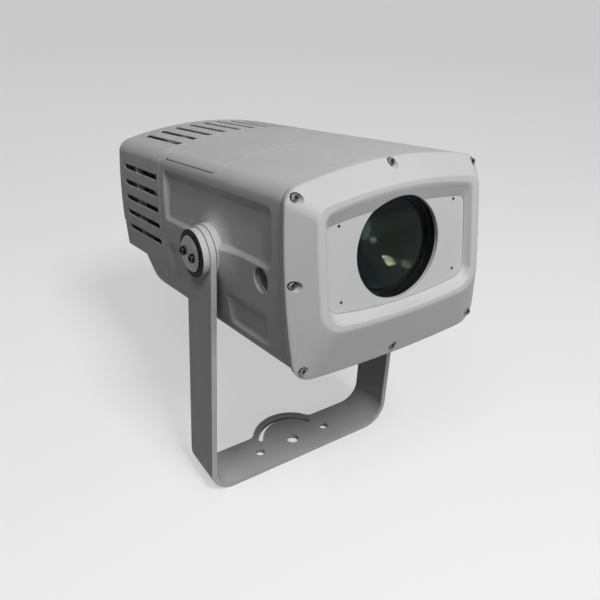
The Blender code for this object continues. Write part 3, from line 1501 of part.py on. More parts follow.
def build_optics(head, coats):
    """Bench, lenses, carriage and gobo wheel."""
    finish(optical_bench(), head, coats["plate"])
    finish(lens_barrel(), head, coats["black"])
    finish(front_lens(), head, coats["glass"])
    finish(condenser_holder(), head, coats["black"])
    finish(condenser_lens(), head, coats["glass"])
    for name, side in (("left", -1), ("right", 1)):
        finish(focus_rod(f"focus_rod_{name}", side), head, coats["steel"])
    finish(focus_motor(), head, coats["black"])
    finish(gobo_motor(), head, coats["black"])
    slide = frame("focus_axis", (0, FOCUS_Y, LENS_Z), parent=head)
    finish(focus_carriage(), slide, coats["black"])
    finish(focus_lens(), slide, coats["glass"])
    finish(focus_lead_screw(), head, coats["steel"], (0, 0, SCREW_Z))
    wheel = frame("gobo_axis", (0, WHEEL_Y, WHEEL_Z), parent=head)
    finish(gobo_wheel(), wheel, coats["plate"])
    finish(gobo_shaft(), wheel, coats["steel"])
    for i in range(GOBO_COUNT - 1):
        finish(gobo_glass(i), wheel, coats["gobo"])


def build_light_engine(head, coats):
    """Bulkhead, heat sink, LED, electronics and fans."""
    finish(rear_bulkhead(), head, coats["plate"])
    finish(heat_sink(), head, coats["plate"])
    finish(led_board(), head, coats["board"])
    finish(led_driver(), head, coats["plate"])
    finish(control_board(), head, coats["board"])
    rotor_y = FAN_Y + FAN_DEPTH - STATOR_DEPTH - SLIDE_FIT - ROTOR_HALF
    for name, side in (("left", -1), ("right", 1)):
        finish(fan_frame(f"fan_frame_{name}", side), head, coats["black"])
        place = (side * FAN_SPACING / 2, rotor_y, FAN_Z)
        finish(fan_rotor(f"fan_rotor_{name}"), head, coats["black"], place)


def clear_scene():
    """Remove whatever the scene holds."""
    for obj in list(bpy.data.objects):
        bpy.data.objects.remove(obj)


def main():
    """Build the projector."""
    clear_scene()
    coats = {
        "cast": material("powder_coated_aluminium", (0.56, 0.57, 0.57), 0.55),
        "steel": material("stainless_steel", (0.62, 0.62, 0.6), 0.28, 1.0),
        "dark_steel": material("dark_steel", (0.12, 0.12, 0.12), 0.35, 1.0),
        "black": material("black_oxide", (0.02, 0.02, 0.021), 0.45),
        "rubber": material("rubber", (0.03, 0.03, 0.03), 0.8),
        "plate": material("bare_aluminium", (0.6, 0.61, 0.62), 0.4, 1.0),
        "board": material("circuit_board", (0.03, 0.12, 0.06), 0.5),
        "glass": material("coated_glass", (0.75, 0.85, 0.82), 0.03, 0.0, 1.0),
        "gobo": material("patterned_glass", (0.2, 0.22, 0.24), 0.1),
    }
    build_yoke(coats)
    head = frame("head", (0, 0, PIVOT_HEIGHT), -HEAD_TILT)
    build_pivots(head, coats)
    build_castings(head, coats)
    build_optics(head, coats)
    build_light_engine(head, coats)
    finish(top_cover(), head, coats["cast"])


main()
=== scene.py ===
"""Looks of an outdoor gobo projector on a bent yoke.

Every piece lies where the CAD nodes that it stands for lie. Shapes are made in millimetres, in
the frame of the head (origin on the tilt axis, -Y the way the light leaves) or of the yoke, and
become metres in the object's own frame when a piece is finished.
"""

import json
import math
from collections import namedtuple

import bmesh
import bpy
from bpy.props import FloatProperty, FloatVectorProperty, IntProperty, PointerProperty
from mathutils import Matrix, Vector


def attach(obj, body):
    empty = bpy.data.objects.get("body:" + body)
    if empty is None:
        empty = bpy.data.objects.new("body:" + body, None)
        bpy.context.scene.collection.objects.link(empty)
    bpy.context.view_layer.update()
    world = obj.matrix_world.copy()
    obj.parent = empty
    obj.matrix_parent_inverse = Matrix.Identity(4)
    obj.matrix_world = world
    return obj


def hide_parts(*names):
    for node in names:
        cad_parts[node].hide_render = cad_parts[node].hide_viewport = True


bl_info = {
    "name": "Gobo projector",
    "version": (1, 0, 0),
    "blender": (4, 5, 0),
    "location": "View3D > Sidebar > Projector",
    "description": "Builds the finished surfaces of an outdoor gobo projector",
    "category": "Add Mesh",
}

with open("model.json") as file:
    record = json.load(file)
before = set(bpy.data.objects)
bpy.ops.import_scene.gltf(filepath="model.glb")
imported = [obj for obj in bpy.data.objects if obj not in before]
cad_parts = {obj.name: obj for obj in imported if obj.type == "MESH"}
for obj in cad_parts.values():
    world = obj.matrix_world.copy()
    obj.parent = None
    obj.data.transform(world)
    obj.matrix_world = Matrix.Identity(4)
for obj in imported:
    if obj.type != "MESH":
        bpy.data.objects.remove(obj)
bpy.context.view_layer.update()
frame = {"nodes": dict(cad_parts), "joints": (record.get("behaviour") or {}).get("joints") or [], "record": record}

# Frames of the head and the yoke, from the joints
JOINTS = {joint["name"]: joint for joint in frame["joints"]}
PIVOT = Vector(JOINTS["head_tilt"]["pos_m"])
HEAD_BACK = Vector(JOINTS["focus_travel"]["axis"])
HEAD_TILT = math.atan2(-HEAD_BACK.z, HEAD_BACK.y)
MM = Matrix.Scale(0.001, 4)
YOKE = MM
HEAD = Matrix.Translation(PIVOT) @ Matrix.Rotation(-HEAD_TILT, 4, "X") @ MM
PIVOT_HEIGHT = 1000 * PIVOT.z
GAP = 0.3

# Head casting, seen from the front
Section = namedtuple("Section", "half top bottom r_top r_bottom crown belly barrel")
HEAD_HALF = 118.5
HEAD_TOP = 100.4
HEAD_BOTTOM = -99.5
TOP_FALL = 0.0098
SHOULDER_RADIUS = 13.0
CHINE_RADIUS = 20.0
CROWN = 14.3
BELLY = 5.0
BARREL = 5.5
ROOF_WALL = 7.5
WALL = 5.0
PAD_X = HEAD_HALF - 12.2

# Stations along the head
FRONT_Y = -168.0
SEAM_Y = -135.0
REAR_SEAM_Y = 130.0
REAR_Y = 267.8
SEAM_TIGHT_Z = 60.0
SEAM_TIGHT_RUN = 25.0
SEAM_TIGHT = 0.85
FLANGE_DEPTH = 12.0
FLANGE_WIDTH = 19.5

# Yoke and pivot
BAR_WIDTH = 55.0
BAR_THICKNESS = 6.5
BEND_RADIUS = 25.5
BOSS_RADIUS = 28.5
BOSS_HEIGHT = 7.8
BOSS_SWELL = 6.2
BOSS_SWELL_RUN = 36.0
BOSS_FOOT = 2.0
BOSS_FOOT_DEPTH = 0.8
FLOOR_SWELL = 4.4
FLOOR_SWELL_RUN = 17.0
BOSS_X = HEAD_HALF + BOSS_HEIGHT
ARM_INNER_X = BOSS_X + 0.5
ARM_OUTER_X = ARM_INNER_X + BAR_THICKNESS
CENTRE_HOLE_RADIUS = 8.0
SIDE_HOLE_RADIUS = 6.0
SIDE_HOLE_X = 50.0
BULGE_RADIUS = 52.5
BULGE_FILLET = 10.0
ARC_SLOT_RADIUS = 42.0
ARC_SLOT_HALF = 3.1
ARC_SLOT_REACH = 63.0
BORE_RADIUS = 16.3
COLLAR_RADIUS = 26.0
COLLAR_EDGE = 1.0
COLLAR_END_X = ARM_OUTER_X + GAP + 6.9
WASHER_RADIUS = 25.5
WASHER_END_X = COLLAR_END_X + GAP + 1.2
CLAMP_RADIUS = 19.3
CLAMP_END_X = WASHER_END_X + GAP + 3.4
CLAMP_CHAMFER = 2.6
CLAMP_SCREW_REACH = 10.5

# Bezel and lens plate
CREASE_Y = -145.0
CREASE_ROUND = 3.2
BAND_EDGE = ((0.0, 1.0), (0.3, 0.3), (1.0, 0.0))
WINDOW_DEPTH = 8.0
RIM_EDGE = 1.8
RIM_MOUTH = 1.8
PLATE_Y = FRONT_Y + WINDOW_DEPTH
PLATE_BACK_Y = PLATE_Y + 2.7
PLATE_SCREWS = ((70.5, 50.1), (70.5, -22.3))
LENS_Z = 15.26
LENS_RADIUS = 50.9
PLATE_BOTTOM = LENS_Z - LENS_RADIUS - 2.7
SCREW_SEAT_Y = -144.9
COUNTERBORE_RADIUS = 4.0
COUNTERBORE_DRAFT = 0.14
COUNTERBORE_RIMS = ((0.35, 0.2), (0.15, 0.45))

# Bezel screws, in from the edges of the casting
CORNER_SCREW_IN = 10.7
UPPER_SCREW_DROP = 20.0
LOWER_SCREW_RISE = 15.0
SIDE_SCREW_IN = 3.5
SIDE_SCREW_Z = 1.7
TOP_SCREW_DROP = 4.6
BOTTOM_SCREW_RISE = 8.1

# Screws: radius of the shank, radius and height of the head, length of the shank
SCREW_HEAD = (2.1, 3.6, 4.6, 18.9)
SCREW_SOCKET = 2.25
CLAMP_HEAD = (3.0, 5.0, 2.4, 18.0)
CLAMP_SOCKET = 2.9
CLAMP_HOLE = 3.3
PLATE_SCREW_HEAD = (0.8, 1.35, 0.35, 0.5)
PLATE_SCREW_SOCKET = 0.7

# Lens barrel
BARREL_OUTER = 56.0
BARREL_INNER = 52.0
BARREL_FRONT_Y = PLATE_BACK_Y + GAP
BARREL_REAR_Y = -60.0
LENS_SEAT_Y = BARREL_FRONT_Y + 13.0
LENS_EDGE = 4.0
LENS_DEPTH = 12.0
LENS_REAR_BULGE = 3.0
LENS_RING = (51.0, 51.9, -156.9, -154.9)
SECOND_RADIUS = 45.0
SECOND_FRONT_Y = -140.0
SECOND_HOLLOW = 30.0
SECOND_BACK_Y = -104.0

# Panel recesses: y from, y to, z from, z to, runs of the front, rear, lower and upper walls,
# depth at the lower and upper edge of the floor, corner radius
Recess = namedtuple("Recess", "y0 y1 z0 z1 front rear low high deep_low deep_high corner")
RECESSES = (
    Recess(-120.0, 117.0, 7.5, 67.2, 2.5, 5.0, 4.5, 10.0, 3.4, 7.0, 8.0),
    Recess(-105.0, -27.0, -75.0, -40.0, 3.0, 7.0, 2.5, 10.5, 4.0, 5.6, 6.0),
    Recess(25.0, 119.0, -77.0, -18.0, 4.0, 12.0, 10.0, 12.0, 4.4, 4.8, 8.0),
)
WALL_EASE = 0.08

# Blind port in the side: y, z, radius, depth
PORT = (-99.5, -6.2, 12.3, 9.5)

# Top cover
LID_HALF = 111.0
LID_FRONT_Y = -12.0
LID_REAR_Y = 120.0
LID_CORNER = 11.0
LID_THICKNESS = 3.0
LID_SKIRT_Z = 79.5
LID_SEAM = 0.8
LID_LEDGE = 7.0
LID_SEAT = 1.8
SEAM_LIP = 0.15

# Rear cover
COVER_WALL = 4.0
COVER_FRONT_Y = REAR_SEAM_Y + GAP
COVER_EDGE = 8.0
STEP_START_Y = 158.0
STEP_END_Y = 196.0
STEP_Z = -56.0
SILL_Y = 258.0
SILL_Z = -22.0
SLOT_REAR_Y = 243.0
SLOT_CORNER = 1.6
SLOT_EASE = 0.6
SLOT_LIP = 1.7
SLOT_FLARE = 2.0
SIDE_SLOT_FRONT_Y = 138.0
TOP_SLOT_FRONT_Y = 135.5
SIDE_SLOT_TOP_Z = 53.5
RIB_Y = 205.0
GLAND_Y = 228.0
GLAND_RADIUS = 12.0
GLAND_SHANK = 10.0
GLAND_BORE = 4.5
GLAND_NUT = 13.8

# How finely shapes are divided, and where the side's lines start and end
SIDE_LINES = (-76.0, 71.0)
PITCH = 2.6
FINE_PITCH = 1.3
BESIDE = 0.5
CORNER_STEPS = 8
WIDE_RUN = 30
TALL_RUN = 26
ROUND_STEPS = 64


# Outlines

def arc(x, z, radius, start, end, steps):
    """Points on an arc about (x, z), angles in degrees."""
    points = []
    for i in range(steps + 1):
        angle = math.radians(start + (end - start) * i / steps)
        points.append((x + radius * math.cos(angle), z + radius * math.sin(angle)))
    return points


def smooth(share):
    """A share from nought to one that leaves and arrives gently."""
    return share * share * (3 - 2 * share)


def between(start, end, count):
    """The points that divide a straight run, without its ends."""
    points = []
    for i in range(1, count):
        share = i / count
        points.append(tuple(a + (b - a) * share for a, b in zip(start, end)))
    return points


def bowed(section, x, z):
    """Move a point of the plain rounded rectangle out to the bowed section."""
    height = (z - section.bottom) / (section.top - section.bottom)
    up = 2 * height - 1
    drop = section.crown * height - section.belly * (1 - height)
    return x * (1 - section.barrel * up * up / section.half), z - drop * (x / section.half) ** 2


def plain_height(section, z):
    """Height in the plain rectangle of a point on the bowed side."""
    span = section.top - section.bottom
    share = (z - section.bottom - section.belly) / (span - section.crown - section.belly)
    return section.bottom + share * span


def outline(section, inset=0.0, lines=()):
    """Corner arcs joined by bowed runs. Lines are heights that the side runs pass through."""
    half = section.half - inset
    top = section.top - inset
    bottom = section.bottom + inset
    r_top = max(section.r_top - inset, 2.0)
    r_bottom = max(section.r_bottom - inset, 2.0)
    levels = [plain_height(section, z) for z in lines]
    corners = (
        (half - r_top, top - r_top, r_top, 0),
        (r_top - half, top - r_top, r_top, 90),
        (r_bottom - half, bottom + r_bottom, r_bottom, 180),
        (half - r_bottom, bottom + r_bottom, r_bottom, 270),
    )
    points = []
    for i, (x, z, radius, start) in enumerate(corners):
        corner = arc(x, z, radius, start, start + 90, CORNER_STEPS)
        x, z, radius, start = corners[(i + 1) % 4]
        following = arc(x, z, radius, start, start, 1)[0]
        if i % 2 == 0:
            run = between(corner[-1], following, WIDE_RUN)
        elif levels:
            run = [(corner[-1][0], z) for z in (reversed(levels) if i == 1 else levels)]
        else:
            run = between(corner[-1], following, TALL_RUN)
        points += corner + run
    return [bowed(section, x, z) for x, z in points]


def rounded_rectangle(u0, u1, v0, v1, radius, steps, run):
    """A plain rectangle with round corners, anticlockwise from its upper right corner."""
    corners = (
        arc(u1 - radius, v1 - radius, radius, 0, 90, steps),
        arc(u0 + radius, v1 - radius, radius, 90, 180, steps),
        arc(u0 + radius, v0 + radius, radius, 180, 270, steps),
        arc(u1 - radius, v0 + radius, radius, 270, 360, steps),
    )
    points = []
    for i, corner in enumerate(corners):
        points += corner + between(corner[-1], corners[(i + 1) % 4][0], run)
    return points


def circle(u, v, radius):
    """A plain circle."""
    return arc(u, v, radius, 0, 360 * (ROUND_STEPS - 1) / ROUND_STEPS, ROUND_STEPS - 1)


def head_section(y):
    """The casting's section at a station, with its roof falling slightly to the rear."""
    top = HEAD_TOP - TOP_FALL * (y - SEAM_Y)
    radii = (SHOULDER_RADIUS, CHINE_RADIUS)
    return Section(HEAD_HALF, top, HEAD_BOTTOM, *radii, CROWN, BELLY, BARREL)


def side_x(y, z):
    """How far out the side lies at a true height."""
    section = head_section(y)
    up = 2 * (plain_height(section, z) - section.bottom) / (section.top - section.bottom) - 1
    return section.half - section.barrel * up * up


def roof_z(x, y):
    """How high the roof lies, over its shoulders too."""
    section = head_section(y)
    flat = section.half - section.r_top
    plain = abs(x)
    for _ in range(4):
        over = min(max(plain - flat, 0.0), section.r_top)
        z = section.top - section.r_top + math.sqrt(section.r_top ** 2 - over ** 2)
        up = 2 * (z - section.bottom) / (section.top - section.bottom) - 1
        plain = min(abs(x) / (1 - section.barrel * up * up / section.half), section.half)
    return bowed(section, plain, z)[1]


def below(surface, depth):
    """The same surface, moved in."""
    return lambda u, v: surface(u, v) - depth


# Meshes

def solid(name, bm):
    """Wrap a finished bmesh as an object in the scene."""
    bmesh.ops.recalc_face_normals(bm, faces=bm.faces)
    mesh = bpy.data.meshes.new(name)
    bm.to_mesh(mesh)
    bm.free()
    obj = bpy.data.objects.new(name, mesh)
    bpy.context.scene.collection.objects.link(obj)
    return obj


def laid(points, axis, level):
    """Lay a flat outline square to an axis, at a level along it."""
    if axis == "X":
        return [(level, u, v) for u, v in points]
    if axis == "Y":
        return [(u, level, v) for u, v in points]
    return [(u, v, level) for u, v in points]


def loft(name, rings):
    """A skin through rings of equal count, closed by a cap at each end."""
    bm = bmesh.new()
    rows = [[bm.verts.new(point) for point in ring] for ring in rings]
    for low, high in zip(rows, rows[1:]):
        for i, vert in enumerate(low):
            following = (i + 1) % len(low)
            bm.faces.new((vert, low[following], high[following], high[i]))
    bm.faces.new(list(reversed(rows[0])))
    bm.faces.new(rows[-1])
    return solid(name, bm)


def prism(name, points, axis, low, high):
    """A flat outline extruded along an axis."""
    return loft(name, [laid(points, axis, low), laid(points, axis, high)])


def block(name, x0, x1, y0, y1, z0, z1):
    """A plain box between two corners."""
    return prism(name, [(x0, y0), (x1, y0), (x1, y1), (x0, y1)], "Z", z0, z1)


def turned(name, profile, axis, centre=(0.0, 0.0), steps=ROUND_STEPS):
    """A solid of (radius, level) points spun about an axis: closed on the axis, or a ring."""
    bm = bmesh.new()
    direction = {"X": Vector((1, 0, 0)), "Y": Vector((0, 1, 0)), "Z": Vector((0, 0, 1))}[axis]
    points = [laid([(centre[0] + r, centre[1])], axis, level)[0] for r, level in profile]
    verts = [bm.verts.new(point) for point in points]
    edges = [bm.edges.new(pair) for pair in zip(verts, verts[1:])]
    if profile[0][0] > 0:
        edges.append(bm.edges.new((verts[-1], verts[0])))
    middle = laid([centre], axis, 0.0)[0]
    bmesh.ops.spin(
        bm, geom=verts + edges, cent=middle, axis=direction,
        angle=math.tau, steps=steps, use_merge=True,
    )
    bmesh.ops.remove_doubles(bm, verts=bm.verts, dist=0.0005)
    return solid(name, bm)


def rod(name, radius, axis, centre, low, high, steps=ROUND_STEPS):
    """A round bar."""
    return turned(name, [(0, low), (radius, low), (radius, high), (0, high)], axis, centre, steps)


def settled(obj):
    """Apply every modifier."""
    depsgraph = bpy.context.evaluated_depsgraph_get()
    mesh = bpy.data.meshes.new_from_object(obj.evaluated_get(depsgraph))
    obj.modifiers.clear()
    old = obj.data
    obj.data = mesh
    bpy.data.meshes.remove(old)
    return obj


def combine(target, tool, operation, solver):
    """Apply a Boolean with the tool, which is used up."""
    modifier = target.modifiers.new(operation, "BOOLEAN")
    modifier.object = tool
    modifier.operation = operation
    modifier.solver = solver
    settled(target)
    bpy.data.objects.remove(tool)
    if not target.data.polygons:
        raise RuntimeError(f"a cut left nothing of {target.name}")
    return target


def cut(target, *tools, solver="MANIFOLD"):
    """Take each tool away from the target."""
    for tool in tools:
        combine(target, tool, "DIFFERENCE", solver)
    return target


def fuse(target, *tools):
    """Join each tool to the target."""
    for tool in tools:
        combine(target, tool, "UNION", "MANIFOLD")
    return target


def keep(target, tool):
    """Keep what the target shares with the tool."""
    return combine(target, tool, "INTERSECT", "MANIFOLD")


def gathered(name, parts):
    """Put solids that don't touch into one object."""
    bm = bmesh.new()
    for part in parts:
        bm.from_mesh(part.data)
        bpy.data.objects.remove(part)
    return solid(name, bm)


def softened(obj, width):
    """Round the sharp edges of a simple solid."""
    modifier = obj.modifiers.new("edge", "BEVEL")
    modifier.width = width
    modifier.segments = 2
    modifier.limit_method = "ANGLE"
    modifier.angle_limit = math.radians(40.0)
    modifier.harden_normals = False
    return settled(obj)


def rounding(radius, sign):
    """Growth and level of a cutter's flared mouth, or of a plug's rounded rim with sign -1."""
    pairs = []
    for turn in (30, 60, 90):
        angle = math.radians(turn)
        pairs.append((sign * radius * (1 - math.cos(angle)), radius * (math.sin(angle) - 1)))
    return pairs


def fitted(name, shape, surface, axis, deep, high, radius, sign=1, side=1):
    """A solid square to a surface. Its mouth flares by a radius where it meets the surface."""
    steps = [(0.0, -deep), (0.0, -radius)] + rounding(radius, sign)
    steps.append((steps[-1][0], high))
    rings = []
    for grow, level in steps:
        ring = []
        for u, v in shape(grow):
            reach = surface(u, v) + level
            ring.append((side * reach, u, v) if axis == "X" else (u, v, reach))
        rings.append(ring)
    return loft(name, rings)


def finish(obj, slot, nodes=(), body="head", look="", angle=35.0):
    """Smooth and coat a piece, take it to its place in metres, and let it ride on its body."""
    obj.data.transform(YOKE if body == "yoke" else HEAD)
    obj.data.shade_smooth()
    obj.data.set_sharp_from_angle(angle=math.radians(angle))
    modifier = obj.modifiers.new("shading", "WEIGHTED_NORMAL")
    modifier.keep_sharp = True
    settled(obj)
    obj.data.materials.clear()
    obj.data.materials.append(coat_of(look or slot))
    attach(obj, body)
    if nodes:
        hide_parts(*nodes)
    return obj


def left_and_right(name):
    """The two nodes of a piece that each side has."""
    return [f"{name}_left", f"{name}_right"]


def both_sides(name, make):
    """One object that holds a piece of each side, made by make(side)."""
    return gathered(name, [make(-1), make(1)])


# Materials

class Coat:
    """A Principled material with a few shorthand ways to add nodes."""

    def __init__(self, name, colour, roughness, metallic=0.0, **sockets):
        self.material = bpy.data.materials.new(name)
        self.material.use_nodes = True
        self.nodes = self.material.node_tree.nodes
        self.shader = self.nodes["Principled BSDF"]
        self.shader.inputs["Base Color"].default_value = (*colour, 1.0)
        self.shader.inputs["Roughness"].default_value = roughness
        self.shader.inputs["Metallic"].default_value = metallic
        for socket, value in sockets.items():
            self.shader.inputs[socket.replace("_", " ")].default_value = value
        self.material.diffuse_color = (*colour, 1.0)
        self.place = self.nodes.new("ShaderNodeTexCoord").outputs["Object"]

    def link(self, start, end):
        """Join two sockets."""
        self.material.node_tree.links.new(start, end)

    def feed(self, socket, value):
        """Link a socket to another, or give it a value."""
        if isinstance(value, bpy.types.NodeSocket):
            self.link(value, socket)
        else:
            socket.default_value = value

    def node(self, kind, settings=None, **inputs):
        """A node with its settings made and then its inputs fed."""
        node = self.nodes.new(kind)
        for name, value in (settings or {}).items():
            setattr(node, name, value)
        for name, value in inputs.items():
            self.feed(node.inputs[name.replace("_", " ")], value)
        return node

    def mapped(self, location=(0, 0, 0), scale=(1, 1, 1)):
        """Object coordinates about another centre, or drawn out."""
        settings = {"vector_type": "TEXTURE"}
        inputs = {"Location": location, "Scale": scale, "Vector": self.place}
        return self.node("ShaderNodeMapping", settings, **inputs).outputs["Vector"]

    def noise(self, scale, detail=3.0, roughness=0.5, vector=None):
        """Noise over the piece."""
        inputs = {"Scale": scale, "Detail": detail, "Roughness": roughness}
        node = self.node("ShaderNodeTexNoise", Vector=vector or self.place, **inputs)
        return node.outputs["Fac"]

    def cells(self, scale, feature="F1"):
        """Distance in a pattern of cells."""
        settings = {"feature": feature}
        node = self.node("ShaderNodeTexVoronoi", settings, Scale=scale, Vector=self.place)
        return node.outputs["Distance"]

    def ranged(self, value, low, high, to_low, to_high):
        """Map a value from one range to another."""
        ends = {"From Min": low, "From Max": high, "To Min": to_low, "To Max": to_high}
        return self.node("ShaderNodeMapRange", Value=value, **ends).outputs["Result"]

    def math(self, operation, first, second=0.0):
        """The result of an operation on two values, each a socket or a number."""
        node = self.node("ShaderNodeMath", {"operation": operation})
        for socket, value in zip(node.inputs, (first, second)):
            self.feed(socket, value)
        return node.outputs["Value"]

    def tinted(self, share, first, second):
        """Colour that runs from one to another with a share."""
        ends = {"A": (*first, 1.0), "B": (*second, 1.0)}
        node = self.node("ShaderNodeMix", {"data_type": "RGBA"}, Factor=share, **ends)
        self.link(node.outputs["Result"], self.shader.inputs["Base Color"])

    def rough(self, share, low, high):
        """Roughness that varies with a share."""
        self.link(self.ranged(share, 0.3, 0.7, low, high), self.shader.inputs["Roughness"])

    def bump(self, height, strength, distance):
        """Fine relief."""
        node = self.node("ShaderNodeBump", Height=height, Strength=strength, Distance=distance)
        self.link(node.outputs["Normal"], self.shader.inputs["Normal"])


def shade(colour, factor):
    """A colour made lighter or darker."""
    return tuple(min(1.0, channel * factor) for channel in colour)


def powder_coat(settings):
    """Fine-grained grey powder coat over a casting."""
    colour = tuple(settings.colour)
    coat = Coat("powder_coat", colour, settings.roughness, Specular_IOR_Level=0.2)
    grain = coat.noise(1.0 / (settings.grain * 0.001), 2.0, 0.6)
    cloud = coat.noise(9.0, 4.0, 0.6)
    coat.tinted(coat.ranged(cloud, 0.3, 0.7, 0.0, 1.0), shade(colour, 0.965), shade(colour, 1.03))
    coat.rough(coat.noise(60.0, 3.0), settings.roughness - 0.05, settings.roughness + 0.07)
    coat.bump(grain, 0.35, settings.grain_height * 0.001)
    return coat.material


def turned_steel(name, colour, roughness):
    """Bright steel with fine turning marks about the tilt axis."""
    coat = Coat(name, colour, roughness, 1.0)
    split = coat.node("ShaderNodeSeparateXYZ", Vector=coat.mapped(tuple(PIVOT)))
    squares = [coat.math("POWER", split.outputs[axis], 2.0) for axis in ("Y", "Z")]
    radius = coat.math("SQRT", coat.math("ADD", *squares))
    settings = {"noise_dimensions": "1D"}
    rings = coat.node("ShaderNodeTexNoise", settings, Scale=2600.0, Detail=3.0, W=radius)
    coat.rough(rings.outputs["Fac"], roughness - 0.06, roughness + 0.1)
    coat.bump(rings.outputs["Fac"], 0.25, 0.00004)
    return coat.material


def oiled_steel(name, colour, roughness):
    """Dark steel of small screws, with a few lighter rubbed spots."""
    coat = Coat(name, colour, roughness, 1.0)
    spots = coat.noise(700.0, 3.0, 0.6)
    coat.tinted(coat.ranged(spots, 0.45, 0.75, 0.0, 1.0), shade(colour, 0.7), shade(colour, 2.2))
    coat.rough(spots, roughness - 0.05, roughness + 0.12)
    coat.bump(spots, 0.2, 0.00005)
    return coat.material


def anodised():
    """Matt black anodised aluminium with a fine grain."""
    coat = Coat("anodised", (0.018, 0.018, 0.02), 0.42, 0.4)
    fine = coat.noise(900.0, 2.0)
    coat.rough(fine, 0.36, 0.52)
    coat.bump(fine, 0.2, 0.00005)
    return coat.material


def sheet_metal(name, colour, roughness):
    """Rolled aluminium, with its grain drawn out along X."""
    coat = Coat(name, colour, roughness, 1.0)
    grain = coat.noise(1.0, 3.0, 0.6, coat.mapped(scale=(0.03, 0.0012, 0.0012)))
    cloud = coat.noise(14.0, 3.0)
    coat.tinted(coat.ranged(cloud, 0.3, 0.7, 0.0, 1.0), shade(colour, 0.88), shade(colour, 1.08))
    coat.rough(grain, roughness - 0.08, roughness + 0.12)
    coat.bump(grain, 0.15, 0.00004)
    return coat.material


def moulded(name, colour, roughness, grain, gloss=0.5):
    """Moulded rubber or plastic with a fine texture."""
    coat = Coat(name, colour, roughness, Specular_IOR_Level=gloss)
    texture = coat.cells(grain)
    coat.tinted(coat.noise(30.0), shade(colour, 0.8), shade(colour, 1.3))
    coat.rough(coat.noise(200.0), roughness - 0.06, roughness + 0.08)
    coat.bump(texture, 0.3, 0.00006)
    return coat.material


def inner_lens():
    """Opaque near-black lens element: painted shade for the dark depth of the lens, which shows only its faint
    tinted reflections.
    """
    coat = Coat(
        "inner_lens", (0.001, 0.0015, 0.0015), 0.04, Specular_IOR_Level=0.12,
        Specular_Tint=(0.95, 0.95, 0.65, 1.0),
    )
    coat.rough(coat.noise(24.0, 2.0, 0.4), 0.02, 0.07)
    return coat.material


def coated_glass():
    """Polished glass. Its low index stands for the coating that dims and tints its reflections."""
    coat = Coat(
        "coated_glass", (0.93, 0.96, 0.94), 0.02, IOR=1.15, Transmission_Weight=1.0,
        Specular_Tint=(0.55, 0.95, 1.0, 1.0),
    )
    coat.rough(coat.noise(24.0, 2.0, 0.4), 0.0, 0.03)
    return coat.material


def circuit_board():
    """Solder mask with copper tracks under it."""
    coat = Coat("circuit_board", (0.02, 0.1, 0.05), 0.35, Coat_Weight=0.4)
    tracks = coat.cells(140.0, "DISTANCE_TO_EDGE")
    share = coat.ranged(tracks, 0.02, 0.06, 1.0, 0.0)
    coat.tinted(share, (0.016, 0.085, 0.042), (0.05, 0.2, 0.09))
    coat.bump(share, 0.2, 0.00005)
    return coat.material


def gobo_pattern():
    """Dark glass with clear rounded patches, a plain pattern that stands for any gobo."""
    coat = Coat("gobo_pattern", (0.02, 0.02, 0.025), 0.08, Coat_Weight=0.5)
    patches = coat.cells(110.0, "SMOOTH_F1")
    share = coat.ranged(patches, 0.28, 0.34, 1.0, 0.0)
    coat.tinted(share, (0.015, 0.015, 0.02), (0.6, 0.66, 0.7))
    coat.rough(coat.noise(300.0), 0.05, 0.12)
    return coat.material


COATS = {}


def coat_of(slot):
    """The finished material of a slot. All of them are made the first time."""
    if not COATS:
        COATS.update(
            powder_coat=powder_coat(bpy.context.scene.projector_coat),
            stainless=turned_steel("stainless", (0.16, 0.16, 0.157), 0.36),
            dark_steel=oiled_steel("dark_steel", (0.2, 0.2, 0.2), 0.34),
            black_oxide=oiled_steel("black_oxide", (0.02, 0.02, 0.021), 0.3),
            anodised=anodised(),
            flat_black=moulded("flat_black", (0.004, 0.004, 0.004), 0.7, 900.0, 0.1),
            bare_aluminium=sheet_metal("bare_aluminium", (0.62, 0.63, 0.64), 0.36),
            sheet_aluminium=sheet_metal("sheet_aluminium", (0.55, 0.56, 0.57), 0.42),
            rubber=moulded("rubber", (0.005, 0.005, 0.005), 0.62, 1800.0, 0.12),
            black_plastic=moulded("black_plastic", (0.022, 0.022, 0.024), 0.48, 1400.0),
            coated_glass=coated_glass(),
            # Opaque near-black element inside the lens: painted shade of the lens's depth
            inner_lens=inner_lens(),
            gobo_glass=gobo_pattern(),
            circuit_board=circuit_board(),
        )
    return COATS[slot]


# Geometry Nodes

def scatter_tree(name, instance, coat):
    """A tree that puts a copy of an object, in a size, on every point of the mesh."""
    tree = bpy.data.node_groups.new(name, "GeometryNodeTree")
    tree.interface.new_socket("Points", in_out="INPUT", socket_type="NodeSocketGeometry")
    size = tree.interface.new_socket("Size", in_out="INPUT", socket_type="NodeSocketFloat")
    size.default_value = 1.0
    size.min_value = 0.1
    tree.interface.new_socket("Copies", in_out="OUTPUT", socket_type="NodeSocketGeometry")
    start = tree.nodes.new("NodeGroupInput")
    info = tree.nodes.new("GeometryNodeObjectInfo")
    info.inputs["Object"].default_value = instance
    info.transform_space = "ORIGINAL"
    copies = tree.nodes.new("GeometryNodeInstanceOnPoints")
    real = tree.nodes.new("GeometryNodeRealizeInstances")
    painted = tree.nodes.new("GeometryNodeSetMaterial")
    painted.inputs["Material"].default_value = coat
    end = tree.nodes.new("NodeGroupOutput")
    links = tree.links
    links.new(start.outputs["Points"], copies.inputs["Points"])
    links.new(info.outputs["Geometry"], copies.inputs["Instance"])
    links.new(start.outputs["Size"], copies.inputs["Scale"])
    links.new(copies.outputs["Instances"], real.inputs["Geometry"])
    links.new(real.outputs["Geometry"], painted.inputs["Geometry"])
    links.new(painted.outputs["Geometry"], end.inputs["Copies"])
    return tree, size.identifier


